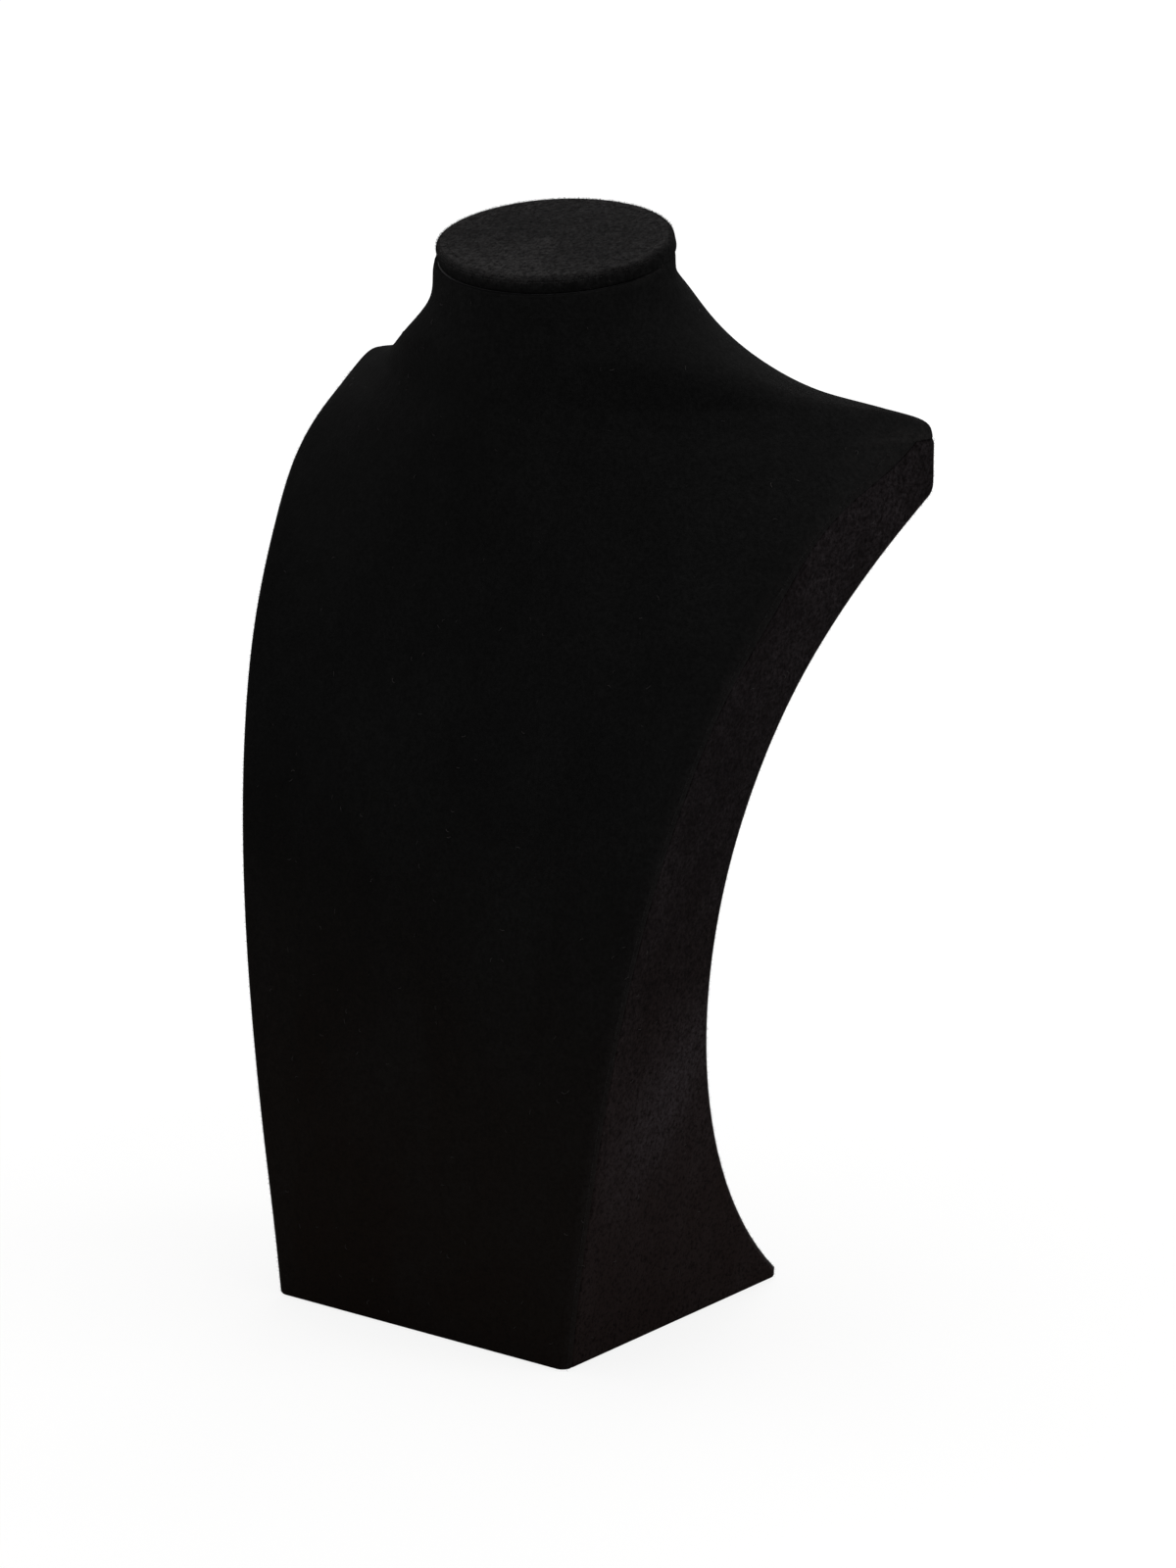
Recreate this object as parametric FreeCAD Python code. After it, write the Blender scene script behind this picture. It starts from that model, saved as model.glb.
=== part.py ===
import FreeCAD, Part
import math
import os

# Display bust for one necklace: a neck and shoulders without a head, in velvet.
# Millimetres, +Z up, origin on the table under the middle of the bust,
# the flat front looks along -Y and the hollow back along +Y.

V = FreeCAD.Vector

# driving sizes of the chest, velvet included
depth = 131.6
base_width = 131.6
shoulder_width = 252.6
shoulder_height = 322.6
rear_flare = 3.4
rear_spread_drop = 34.1
chest_recess = 45.3
chest_start_height = 97.0
chest_rise = 238.5
crease_fullness = 3.07
crease_squareness = 1.635
flank_straight_share = 0.756
flank_fullness = 3.3
rear_straight_share = 0.633
crease_radius = 4.0
crease_share_limit = 0.45
rear_edge_radius = 4.0
rear_edge_share_limit = 0.35

# the level sections run up from just under the table, as shares of the height,
# and the crease opens out into the shoulder tip above the opening share
chest_start_share = -0.02
chest_end_share = 0.94
crease_opening_share = 0.72
crease_opening = 3.0
tip_share = 0.965
tip_crease_radius = 12.0
tip_end_share = 0.982
tip_end_crease_radius = 18.0

# driving sizes of the neck and its tilted disc
disc_width = 94.4
disc_length = 62.6
disc_tilt = 19.3
neck_height = 59.7
disc_setback = 13.5
disc_board = 4.0
disc_edge_radius = 1.0
neck_swell = 1.0
neck_lift = 1.4
neck_blend_share = 0.768
neck_overrun = 6.0

# how the shoulders fall from the neck to their tips
tip_rounding = 1.45
slope_start = 0.856
slope_fall = 1.81
flank_setback = 4.0
flank_drift = 2.63
rear_lift = 2.2
flank_half_length = 1.5

# how square the sections of the shoulders and the neck are
oval = 0.5523
front_square = 0.52
tip_flank_square = 0.04
flank_swing = -0.315
tip_rear_square = 0.70
flank_blend_end = 0.6
lean_start = 0.3
lean_span = 0.8

# where the front and the rear of a section end and its side bends begin
front_bend = 0.70
front_bend_drift = 0.2
rear_bend = 0.2
rear_bend_drift = 0.25
bend_easing = 0.7

# driving sizes of the hollow back
foot_setback = 4.8
foot_height = 4.0
hollow_depth = 72.6
hollow_mid_height = 144.8
upper_back_height = 23.0

# driving thicknesses of the materials, and the places of the seams
velvet = 1.0
seam_setback = 2.0
side_seam_drop = 4.0
back_seam_crown = 9.0
back_seam_drop = 36.0
back_seam_span = 400.0
seam_clearance = 0.5
shell_wall = 3.0
back_board = 3.0
base_board_thickness = 9.0
felt = 1.5
felt_margin = 1.5

# derived places
front_y = -depth / 2
back_y = depth / 2
half_base = base_width / 2
half_shoulder = shoulder_width / 2
half_rear = half_shoulder + rear_flare / 2
rear_spread_height = shoulder_height - rear_spread_drop
hollow_top_height = shoulder_height - upper_back_height
disc_height = shoulder_height + neck_height
tilt = math.radians(disc_tilt)
disc_centre = V(0, disc_setback, disc_height)
disc_axis = V(0, -math.sin(tilt), math.cos(tilt))
neck_foot = shoulder_height + neck_lift
neck_rise = neck_blend_share * (disc_height - neck_foot)
neck_end = (disc_height + neck_overrun - neck_foot) / neck_rise
side_seam_height = shoulder_height - side_seam_drop
back_cover_reach = velvet + seam_clearance
far = 400.0


def clipped(value):
    """Return the value kept between nought and one."""
    return min(max(value, 0.0), 1.0)


def smooth(t):
    """Return a share that starts and ends level, for t from nought to one."""
    return 3 * t ** 2 - 2 * t ** 3


def crease_y(z):
    """Return how far back the front's side edge lies at height z."""
    u = clipped(z / shoulder_height)
    return back_y - depth * (1 - u ** crease_fullness) ** (1 / crease_squareness)


def spread(z, height, widest, straight_share):
    """Return half a width at height z that grows from the base to its widest."""
    u = clipped(z / height)
    share = straight_share * u + (1 - straight_share) * u ** flank_fullness
    return half_base + (widest - half_base) * share


def chest_y(z):
    """Return where the middle of the front lies at height z."""
    return front_y + chest_recess * smooth(clipped((z - chest_start_height) / chest_rise))


def between(a, b, share):
    """Return the point at a share of the way from a to b."""
    return a + (b - a) * share


def straight(a, b):
    """Return the four poles of a straight cubic from a to b."""
    return [a, between(a, b, 1 / 3), between(a, b, 2 / 3), b]


def corner(start, knee, end):
    """Return the four poles of a rounded corner that turns at the knee."""
    return [start, between(start, knee, oval), between(end, knee, oval), end]


def split(poles, t):
    """Return the poles of both parts of a cubic that is cut at t."""
    a = [between(poles[i], poles[i + 1], t) for i in range(3)]
    b = [between(a[i], a[i + 1], t) for i in range(2)]
    c = between(b[0], b[1], t)
    return [poles[0], a[0], b[0], c], [c, b[1], a[2], poles[3]]


def symmetric_wire(right_half):
    """Return a closed wire from the right half's cubics and their mirror images."""
    left_half = []
    for poles in reversed(right_half):
        left_half.append([V(-p.x, p.y, p.z) for p in reversed(poles)])
    edges = []
    for poles in right_half + left_half:
        curve = Part.BezierCurve()
        curve.setPoles(poles)
        edges.append(curve.toShape())
    return Part.Wire(edges)


def chest_section(share, inset, radius):
    """Return the level section of the chest at a share of the shoulder height."""
    z = share * shoulder_height
    level = z - inset
    width = spread(z, shoulder_height, half_shoulder, flank_straight_share) - inset
    edge = crease_y(z) + inset
    middle = chest_y(z) + inset
    rear = back_y - inset
    rear_width = spread(z, rear_spread_height, half_rear, rear_straight_share) - inset
    rear_knee = V(rear_width, rear, level)
    bow = (edge - middle) / width ** 2
    start_x = width - radius
    start = V(start_x, middle + bow * start_x ** 2, level)
    slope = 2 * bow * start_x
    lean = (rear_width - width) / (rear - edge)
    knee_x = (width + lean * (start.y - slope * start_x - edge)) / (1 - lean * slope)
    knee = V(knee_x, start.y + slope * (knee_x - start_x), level)
    side_length = knee.distanceToPoint(rear_knee)
    crease_reach = min(radius / side_length, crease_share_limit)
    rear_reach = min(rear_edge_radius / side_length, rear_edge_share_limit)
    side_start = between(knee, rear_knee, crease_reach)
    side_end = between(rear_knee, knee, rear_reach)
    rear_start = V(rear_width - rear_edge_radius, rear, level)
    front_second = V(start_x / 3, middle, level)
    front_third = V(2 * start_x / 3, middle + (start.y - middle) / 3, level)
    return symmetric_wire([
        [V(0, middle, level), front_second, front_third, start],
        corner(start, knee, side_start),
        straight(side_start, side_end),
        corner(side_end, rear_knee, rear_start),
        straight(rear_start, V(0, rear, level)),
    ])


def neck_section(u, inset):
    """Return the section at a share u of the way from the shoulder tops to the neck.

    The shoulders narrow to the disc's oval, move forward and lean with the disc.
    """
    blend = min(u, 1.0)
    rim = disc_length / 2 * math.cos(tilt) + neck_swell
    tip = half_shoulder - tip_rounding
    neck = disc_width / 2 + neck_swell
    width = neck + (tip - neck) * (1 - blend ** slope_start) ** slope_fall - inset
    tip_flank_y = back_y - flank_setback
    widest = disc_setback + (tip_flank_y - disc_setback) * (1 - blend) ** flank_drift
    chest_top = front_y + chest_recess
    near = chest_top + (disc_setback - rim - chest_top) * blend + inset
    neck_back = disc_setback + rim
    back = neck_back + (back_y - neck_back) * (1 - blend ** rear_lift) - inset
    height = neck_foot + neck_rise * u - inset
    lean = math.tan(tilt * smooth(clipped((u - lean_start) / lean_span)))
    across = front_square + (oval - front_square) * blend
    eased = smooth(min(blend / flank_blend_end, 1.0))
    flank = tip_flank_square + (oval - tip_flank_square) * eased
    flank += flank_swing * blend ** 2 * (1 - blend)
    rear_flank = tip_rear_square + (oval - tip_rear_square) * blend
    front_part = front_bend - front_bend_drift * blend ** bend_easing
    rear_part = rear_bend + rear_bend_drift * blend ** bend_easing

    def place(x, y):
        """Return the point of the section above (x, y)."""
        return V(x, y, height + (y - disc_setback) * lean)

    end_y = widest - flank_half_length
    start_y = widest + flank_half_length
    front_quarter = [
        place(0, near),
        place(across * width, near),
        place(width, end_y - flank * (end_y - near)),
        place(width, end_y),
    ]
    rear_quarter = [
        place(width, start_y),
        place(width, start_y + rear_flank * (back - start_y)),
        place(rear_flank * width, back),
        place(0, back),
    ]
    front, shoulder = split(front_quarter, front_part)
    corner_behind, rear = split(rear_quarter, rear_part)
    side = straight(shoulder[3], corner_behind[0])
    return symmetric_wire([front, shoulder, side, corner_behind, rear])


def full_form(inset, ruled=False, chest_steps=10, neck_steps=6):
    """Return the solid form before the back is hollowed, drawn in by the inset.

    A ruled form runs straight from section to section, for the inside of the shell.
    """
    sections = []
    opening_span = chest_end_share - crease_opening_share
    for step in range(chest_steps + 1):
        share = between(chest_start_share, chest_end_share, step / chest_steps)
        opening = max(share - crease_opening_share, 0) / opening_span
        sections.append(chest_section(share, inset, crease_radius + crease_opening * opening))
    sections.append(chest_section(tip_share, inset, tip_crease_radius))
    sections.append(chest_section(tip_end_share, inset, tip_end_crease_radius))
    for step in range(neck_steps + 1):
        sections.append(neck_section(step / neck_steps, inset))
    sections.append(neck_section((1 + neck_end) / 2, inset))
    sections.append(neck_section(neck_end, inset))
    return Part.makeLoft(sections, True, ruled)


def swept_across(edges):
    """Return the space between the planes far left and far right of a side outline."""
    return Part.Face(Part.Wire(edges)).extrude(V(far, 0, 0))


def line(a, b):
    """Return the straight edge from a to b."""
    return Part.LineSegment(a, b).toShape()


def hollow_back(inset):
    """Return the cutter of the hollow back, moved inwards by the inset."""
    side = -far / 2
    foot_y = back_y - foot_setback - inset
    head_height = hollow_top_height + inset
    floor = V(side, foot_y, -far)
    foot = V(side, foot_y, foot_height)
    deep = V(side, back_y - hollow_depth - inset, hollow_mid_height)
    head = V(side, back_y - inset, head_height)
    head_back = V(side, far, head_height)
    floor_back = V(side, far, -far)
    return swept_across([
        line(floor, foot),
        Part.Arc(foot, deep, head).toShape(),
        line(head, head_back),
        line(head_back, floor_back),
        line(floor_back, floor),
    ])


def slab(low, high):
    """Return a wide level slab between two heights."""
    return Part.makeBox(far, far, high - low, V(-far / 2, -far / 2, low))


def above_disc(drop):
    """Return all the space above the disc's plane lowered by the drop."""
    block = Part.makeBox(far, far, far, V(-far / 2, -far / 2, 0))
    block.rotate(V(0, 0, 0), V(1, 0, 0), disc_tilt)
    block.translate(disc_centre - disc_axis * drop)
    return block


def oval_plate(half_x, half_y, thickness, drop):
    """Return an oval plate under the disc's plane, its top lowered by the drop."""
    ellipse = Part.Ellipse(V(0, 0, 0), half_x, half_y).toShape()
    plate = Part.Face(Part.Wire(ellipse)).extrude(V(0, 0, -thickness))
    plate.rotate(V(0, 0, 0), V(1, 0, 0), disc_tilt)
    plate.translate(disc_centre - disc_axis * drop)
    return plate


def largest_solid(shape):
    """Return the largest solid of a shape."""
    return max(shape.Solids, key=lambda solid: solid.Volume)


def before_side_seams(steps=12):
    """Return the space of the front cover: before the side seams and above the side panels."""
    side = -far / 2
    points = []
    for i in range(steps + 1):
        z = side_seam_height * i / steps
        points.append(V(side, crease_y(z) + seam_setback, z))
    seam = Part.BSplineCurve()
    seam.interpolate(points)
    floor = V(side, points[0].y, -far)
    front_floor = V(side, -far, -far)
    front_head = V(side, -far, side_seam_height)
    before = swept_across([
        seam.toShape(),
        line(points[-1], front_head),
        line(front_head, front_floor),
        line(front_floor, floor),
        line(floor, points[0]),
    ])
    return before.fuse(slab(side_seam_height, 2 * far))


def behind_back_seams():
    """Return the space of the back cover: the hollow and, under an arched seam, the upper back."""
    plane_y = back_y - back_cover_reach
    crown = shoulder_height + back_seam_crown
    left_foot = V(-back_seam_span / 2, plane_y, 0)
    right_foot = V(back_seam_span / 2, plane_y, 0)
    left_end = V(-back_seam_span / 2, plane_y, crown - back_seam_drop)
    right_end = V(back_seam_span / 2, plane_y, crown - back_seam_drop)
    outline = Part.Wire([
        line(left_foot, right_foot),
        line(right_foot, right_end),
        Part.Arc(right_end, V(0, plane_y, crown), left_end).toShape(),
        line(left_end, left_foot),
    ])
    upper_back = Part.Face(outline).extrude(V(0, far, 0))
    return hollow_back(back_cover_reach).fuse(upper_back)


class Forms:
    """The nested forms that the pieces are cut from."""

    def __init__(self):
        under_disc = velvet + disc_board
        wall = velvet + shell_wall
        neck_top = above_disc(under_disc)
        self.floor = slab(-far, felt)
        self.core = full_form(velvet).cut(neck_top).cut(hollow_back(velvet))
        self.cavity = full_form(wall, ruled=True).cut(above_disc(under_disc + shell_wall))
        outer = full_form(0.0).cut(neck_top).cut(hollow_back(0.0))
        self.skin = outer.cut(self.core).cut(self.floor)


def body_shell(forms):
    """Return the moulded shell: front, sides, shoulders, neck and upper back."""
    return forms.core.cut(forms.cavity).cut(forms.floor)


def back_panel(forms):
    """Return the thin board that is bent along the hollow back between the sides."""
    layer = hollow_back(velvet + back_board).cut(hollow_back(velvet))
    layer = layer.common(slab(0, hollow_top_height + velvet))
    return layer.common(forms.cavity).cut(forms.floor)


def base_board(forms):
    """Return the board that closes the bottom inside the shell."""
    board = slab(felt, felt + base_board_thickness)
    return forms.cavity.common(board).cut(hollow_back(velvet + back_board))


def base_felt():
    """Return the felt under the bottom, the face that the bust stands on."""
    trimmed = full_form(felt_margin).cut(hollow_back(felt_margin))
    return trimmed.common(slab(0.0, felt))


def neck_disc():
    """Return the oval board that closes the neck."""
    return oval_plate(disc_width / 2 - velvet, disc_length / 2 - velvet, disc_board, velvet)


def neck_disc_velvet():
    """Return the velvet over the top and the rim of the oval board."""
    cap = oval_plate(disc_width / 2, disc_length / 2, disc_board + velvet, 0.0)
    rims = [edge for edge in cap.Edges if len(edge.Vertexes) == 1]
    top_rim = max(rims, key=lambda edge: edge.CenterOfMass.z)
    return cap.makeFillet(disc_edge_radius, [top_rim]).cut(neck_disc())


def front_velvet(forms):
    """Return the one cover over the front, the shoulders and the neck."""
    return forms.skin.common(before_side_seams()).cut(behind_back_seams())


def back_velvet(forms):
    """Return the cover of the hollow back and the upper back."""
    return forms.skin.common(behind_back_seams())


def side_velvets(forms):
    """Return the right and the left side panel's cover."""
    sides = forms.skin.cut(before_side_seams()).cut(behind_back_seams())
    panels = sorted(sides.Solids, key=lambda solid: solid.Volume)[-2:]
    left, right = sorted(panels, key=lambda solid: solid.CenterOfMass.x)
    return right, left


def main():
    """Build every piece and write one STEP file for each."""
    os.makedirs("parts", exist_ok=True)
    forms = Forms()
    right_side, left_side = side_velvets(forms)
    pieces = {
        "body_shell": body_shell(forms),
        "back_panel": back_panel(forms),
        "base_board": base_board(forms),
        "base_felt": base_felt(),
        "neck_disc": neck_disc(),
        "neck_disc_velvet": neck_disc_velvet(),
        "front_velvet": front_velvet(forms),
        "back_velvet": back_velvet(forms),
        "right_side_velvet": right_side,
        "left_side_velvet": left_side,
    }
    for name, shape in pieces.items():
        largest_solid(shape).exportStep("parts/" + name + ".step")


main()
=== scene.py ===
"""Velvet display bust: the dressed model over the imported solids.

The outer form is worked out in millimetres from the same sizes as the solids, and
each cover is cut from it as the real cloth is: one front and neck cover, two side
panels, one back panel and the cover of the oval disc on the neck.
"""
import logging
import math
from dataclasses import dataclass, field
from enum import Enum
from functools import cached_property

import bmesh
import bpy
import numpy as np
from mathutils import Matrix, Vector, kdtree


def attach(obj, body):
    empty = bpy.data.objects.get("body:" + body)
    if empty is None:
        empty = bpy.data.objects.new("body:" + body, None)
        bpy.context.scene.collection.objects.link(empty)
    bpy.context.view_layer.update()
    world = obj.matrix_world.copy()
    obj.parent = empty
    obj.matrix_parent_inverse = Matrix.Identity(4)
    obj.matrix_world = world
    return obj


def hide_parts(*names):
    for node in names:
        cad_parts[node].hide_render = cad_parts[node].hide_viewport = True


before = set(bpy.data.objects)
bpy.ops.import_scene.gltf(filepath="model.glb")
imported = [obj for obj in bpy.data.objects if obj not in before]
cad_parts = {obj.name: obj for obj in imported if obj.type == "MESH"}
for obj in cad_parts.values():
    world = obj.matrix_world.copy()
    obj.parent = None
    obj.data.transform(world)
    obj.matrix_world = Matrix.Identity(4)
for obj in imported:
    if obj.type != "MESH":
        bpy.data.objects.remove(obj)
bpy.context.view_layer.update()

LOG = logging.getLogger("display_bust")
MM = 0.001


class Slot(Enum):
    """The material slots of the record for the velvet and the felt."""

    VELVET = "black_velvet"
    FELT = "black_felt"


class Seam(Enum):
    """How far a cloth edge rounds over, in millimetres."""

    BUTTED = 0.55
    TURNED_UNDER = 1.2


# ---------------------------------------------------------------- form


@dataclass
class BustForm:
    """The outer form of the bust, in millimetres, velvet included.

    The form is a row of sections, each of five cubics from the middle of the front
    round to the middle of the back, and a smooth spline through the matching poles
    of all of them. The fields down to velvet repeat the driving sizes of the
    solids. Those from flank_flat on say how the sections are cut and spaced.
    """

    depth: float = 131.6
    base_width: float = 131.6
    shoulder_width: float = 252.6
    shoulder_height: float = 322.6
    rear_flare: float = 3.4
    rear_spread_drop: float = 34.1
    chest_recess: float = 45.3
    chest_start_height: float = 97.0
    chest_rise: float = 238.5
    crease_fullness: float = 3.07
    crease_squareness: float = 1.635
    flank_straight_share: float = 0.756
    flank_fullness: float = 3.3
    rear_straight_share: float = 0.633
    crease_radius: float = 4.0
    rear_edge_radius: float = 4.0
    crease_opening: float = 3.0
    disc_width: float = 94.4
    disc_length: float = 62.6
    disc_tilt: float = 19.3
    neck_height: float = 59.7
    disc_setback: float = 13.5
    disc_board: float = 4.0
    neck_swell: float = 1.0
    neck_lift: float = 1.4
    neck_blend_share: float = 0.768
    neck_overrun: float = 6.0
    tip_rounding: float = 1.45
    slope_start: float = 0.856
    slope_fall: float = 1.81
    flank_setback: float = 4.0
    flank_drift: float = 2.63
    rear_lift: float = 2.2
    oval: float = 0.5523
    front_square: float = 0.52
    tip_flank_square: float = 0.04
    flank_swing: float = -0.315
    tip_rear_square: float = 0.70
    foot_setback: float = 4.8
    foot_height: float = 4.0
    hollow_depth: float = 72.6
    hollow_mid_height: float = 144.8
    upper_back_height: float = 23.0
    side_seam_drop: float = 4.0
    back_seam_crown: float = 9.0
    back_seam_drop: float = 36.0
    back_seam_span: float = 400.0
    velvet: float = 1.0
    flank_flat: float = 1.5
    flank_ease: float = 0.6
    lean_start: float = 0.3
    lean_run: float = 0.8
    front_cut: float = 0.70
    front_cut_change: float = -0.2
    rear_cut: float = 0.2
    rear_cut_change: float = 0.25
    cut_power: float = 0.7
    crease_share_limit: float = 0.45
    rear_share_limit: float = 0.35
    chest_steps: int = 10
    chest_low: float = -0.02
    chest_span: float = 0.96
    opening_start: float = 0.72
    opening_run: float = 0.22
    shoulder_radii: tuple[tuple[float, float], ...] = ((0.965, 12.0), (0.982, 18.0))
    neck_steps: int = 6
    poles: np.ndarray = field(init=False, repr=False)
    knots: np.ndarray = field(init=False, repr=False)
    bends: np.ndarray = field(init=False, repr=False)

    def __post_init__(self) -> None:
        """Work out the sections and the spline through them."""
        self.poles = np.array(self.sections())
        step = np.linalg.norm(np.diff(self.poles, axis=0), axis=2).mean(axis=1)
        self.knots = np.concatenate([[0.0], np.cumsum(step)])
        self.bends = self.spline_bends()

    @property
    def back_y(self) -> float:
        """Return the rear plane of the form."""
        return self.depth / 2

    @property
    def tilt(self) -> float:
        """Return the disc's tilt in radians."""
        return math.radians(self.disc_tilt)

    @property
    def disc_height(self) -> float:
        """Return the height of the middle of the disc."""
        return self.shoulder_height + self.neck_height

    @property
    def side_top(self) -> float:
        """Return the height where the side panels end under the shoulder tips."""
        return self.shoulder_height - self.side_seam_drop

    @property
    def neck_foot(self) -> float:
        """Return the height where the neck sections begin."""
        return self.shoulder_height + self.neck_lift

    @property
    def neck_rise(self) -> float:
        """Return the height over which the shoulders blend into the neck."""
        return self.neck_blend_share * (self.disc_height - self.neck_foot)

    def crease_y(self, z: float) -> float:
        """Return how far back the front's side edge lies at height z."""
        u = unit(z / self.shoulder_height)
        forward = (1 - u ** self.crease_fullness) ** (1 / self.crease_squareness)
        return self.back_y - self.depth * forward

    def half_width(self, z: float, reach: float, full: float, straight: float) -> float:
        """Return half the width of a flank line at height z.

        Args:
            z: Height in millimetres.
            reach: Height at which the line is at its widest.
            full: Half the width there.
            straight: Share of the widening that is a straight taper.

        Returns:
            Half the width in millimetres.
        """
        u = unit(z / reach)
        share = straight * u + (1 - straight) * u ** self.flank_fullness
        return self.base_width / 2 + (full - self.base_width / 2) * share

    def chest_section(self, z: float, radius: float) -> np.ndarray:
        """Return the sixteen poles of the right half of a level chest section.

        Args:
            z: Height of the section.
            radius: Rounding of the crease between front and side.

        Returns:
            Array of shape (16, 3).
        """
        width = self.half_width(
            z, self.shoulder_height, self.shoulder_width / 2, self.flank_straight_share)
        rear_full = (self.shoulder_width + self.rear_flare) / 2
        rear_reach = self.shoulder_height - self.rear_spread_drop
        rear_width = self.half_width(z, rear_reach, rear_full, self.rear_straight_share)
        edge = self.crease_y(z)
        risen = unit((z - self.chest_start_height) / self.chest_rise)
        middle = -self.back_y + self.chest_recess * smooth_step(risen)
        rear = self.back_y
        bow = (edge - middle) / width ** 2
        start_x = width - radius
        start = np.array([start_x, middle + bow * start_x ** 2, z])
        slope = 2 * bow * start_x
        lean = (rear_width - width) / (rear - edge)
        knee_x = (width + lean * (start[1] - slope * start_x - edge)) / (1 - lean * slope)
        knee = np.array([knee_x, start[1] + slope * (knee_x - start_x), z])
        rear_knee = np.array([rear_width, rear, z])
        length = float(np.linalg.norm(rear_knee - knee))
        front_share = min(radius / length, self.crease_share_limit)
        rear_share = min(self.rear_edge_radius / length, self.rear_share_limit)
        side_start = knee + (rear_knee - knee) * front_share
        side_end = rear_knee + (knee - rear_knee) * rear_share
        rear_start = np.array([rear_width - self.rear_edge_radius, rear, z])
        centre = np.array([0.0, rear, z])
        return np.array([
            [0, middle, z],
            [start_x / 3, middle, z],
            [2 * start_x / 3, middle + (start[1] - middle) / 3, z],
            start,
            start + (knee - start) * self.oval,
            side_start + (knee - side_start) * self.oval,
            side_start,
            side_start + (side_end - side_start) / 3,
            side_start + (side_end - side_start) * 2 / 3,
            side_end,
            side_end + (rear_knee - side_end) * self.oval,
            rear_start + (rear_knee - rear_start) * self.oval,
            rear_start,
            rear_start + (centre - rear_start) / 3,
            rear_start + (centre - rear_start) * 2 / 3,
            centre,
        ])

    def neck_section(self, u: float) -> np.ndarray:
        """Return the sixteen poles of the right half of a section above the shoulders.

        Args:
            u: Share of the way from the shoulder tops to the foot of the neck.

        Returns:
            Array of shape (16, 3).
        """
        blend = min(u, 1.0)
        turn = unit((u - self.lean_start) / self.lean_run)
        ease = min(blend / self.flank_ease, 1.0)
        neck = self.disc_width / 2 + self.neck_swell
        tip = self.shoulder_width / 2 - self.tip_rounding
        reach = self.disc_length / 2 * math.cos(self.tilt) + self.neck_swell
        front = self.chest_recess - self.back_y
        width = neck + (tip - neck) * (1 - blend ** self.slope_start) ** self.slope_fall
        drift = (1 - blend) ** self.flank_drift
        widest = self.disc_setback + (self.back_y - self.flank_setback - self.disc_setback) * drift
        near = front + (self.disc_setback - reach - front) * blend
        rim_rear = self.disc_setback + reach
        back = rim_rear + (self.back_y - rim_rear) * (1 - blend ** self.rear_lift)
        lean = math.tan(self.tilt * smooth_step(turn))
        across = self.front_square + (self.oval - self.front_square) * blend
        flank = self.tip_flank_square
        flank += (self.oval - self.tip_flank_square) * smooth_step(ease)
        flank += self.flank_swing * blend ** 2 * (1 - blend)
        rear_flank = self.tip_rear_square + (self.oval - self.tip_rear_square) * blend
        front_cut = self.front_cut + self.front_cut_change * blend ** self.cut_power
        rear_cut = self.rear_cut + self.rear_cut_change * blend ** self.cut_power
        end_y = widest - self.flank_flat
        start_y = widest + self.flank_flat
        front_quarter = [(0, near), (across * width, near),
                         (width, end_y - flank * (end_y - near)), (width, end_y)]
        rear_quarter = [(width, start_y), (width, start_y + rear_flank * (back - start_y)),
                        (rear_flank * width, back), (0, back)]
        middle, bend = split_cubic(np.array(front_quarter, float), front_cut)
        rear_bend, rear_middle = split_cubic(np.array(rear_quarter, float), rear_cut)
        side = [bend[3] + (rear_bend[0] - bend[3]) * share for share in (1 / 3, 2 / 3)]
        plan = [*middle, *bend[1:], *side, *rear_bend, *rear_middle[1:]]
        height = self.neck_foot + self.neck_rise * u
        return np.array([[x, y, height + (y - self.disc_setback) * lean] for x, y in plan])

    def sections(self) -> list[np.ndarray]:
        """Return the sections from just under the table to above the disc."""
        radii = []
        for step in range(self.chest_steps + 1):
            share = self.chest_low + self.chest_span * step / self.chest_steps
            opened = self.crease_opening * max(share - self.opening_start, 0) / self.opening_run
            radii.append((share, self.crease_radius + opened))
        rows = [self.chest_section(share * self.shoulder_height, radius)
                for share, radius in (*radii, *self.shoulder_radii)]
        neck_end = (self.disc_height + self.neck_overrun - self.neck_foot) / self.neck_rise
        shares = [step / self.neck_steps for step in range(self.neck_steps + 1)]
        return rows + [self.neck_section(u) for u in (*shares, 0.5 * (1 + neck_end), neck_end)]

    def spline_bends(self) -> np.ndarray:
        """Return the second derivatives of the natural spline through the poles."""
        count = len(self.knots)
        gaps = np.diff(self.knots)
        matrix = np.zeros((count, count))
        matrix[0, 0] = matrix[-1, -1] = 1.0
        right = np.zeros_like(self.poles)
        for i in range(1, count - 1):
            matrix[i, i - 1] = gaps[i - 1] / 6
            matrix[i, i] = (gaps[i - 1] + gaps[i]) / 3
            matrix[i, i + 1] = gaps[i] / 6
            right[i] = ((self.poles[i + 1] - self.poles[i]) / gaps[i]
                        - (self.poles[i] - self.poles[i - 1]) / gaps[i - 1])
        return np.linalg.solve(matrix, right.reshape(count, -1)).reshape(right.shape)

    def poles_at(self, place: float) -> np.ndarray:
        """Return the sixteen poles at a place along the row of sections."""
        i = int(np.clip(np.searchsorted(self.knots, place) - 1, 0, len(self.knots) - 2))
        gap = self.knots[i + 1] - self.knots[i]
        b = (place - self.knots[i]) / gap
        a = 1 - b
        bend = ((a ** 3 - a) * self.bends[i] + (b ** 3 - b) * self.bends[i + 1]) * gap ** 2 / 6
        return a * self.poles[i] + b * self.poles[i + 1] + bend

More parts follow.
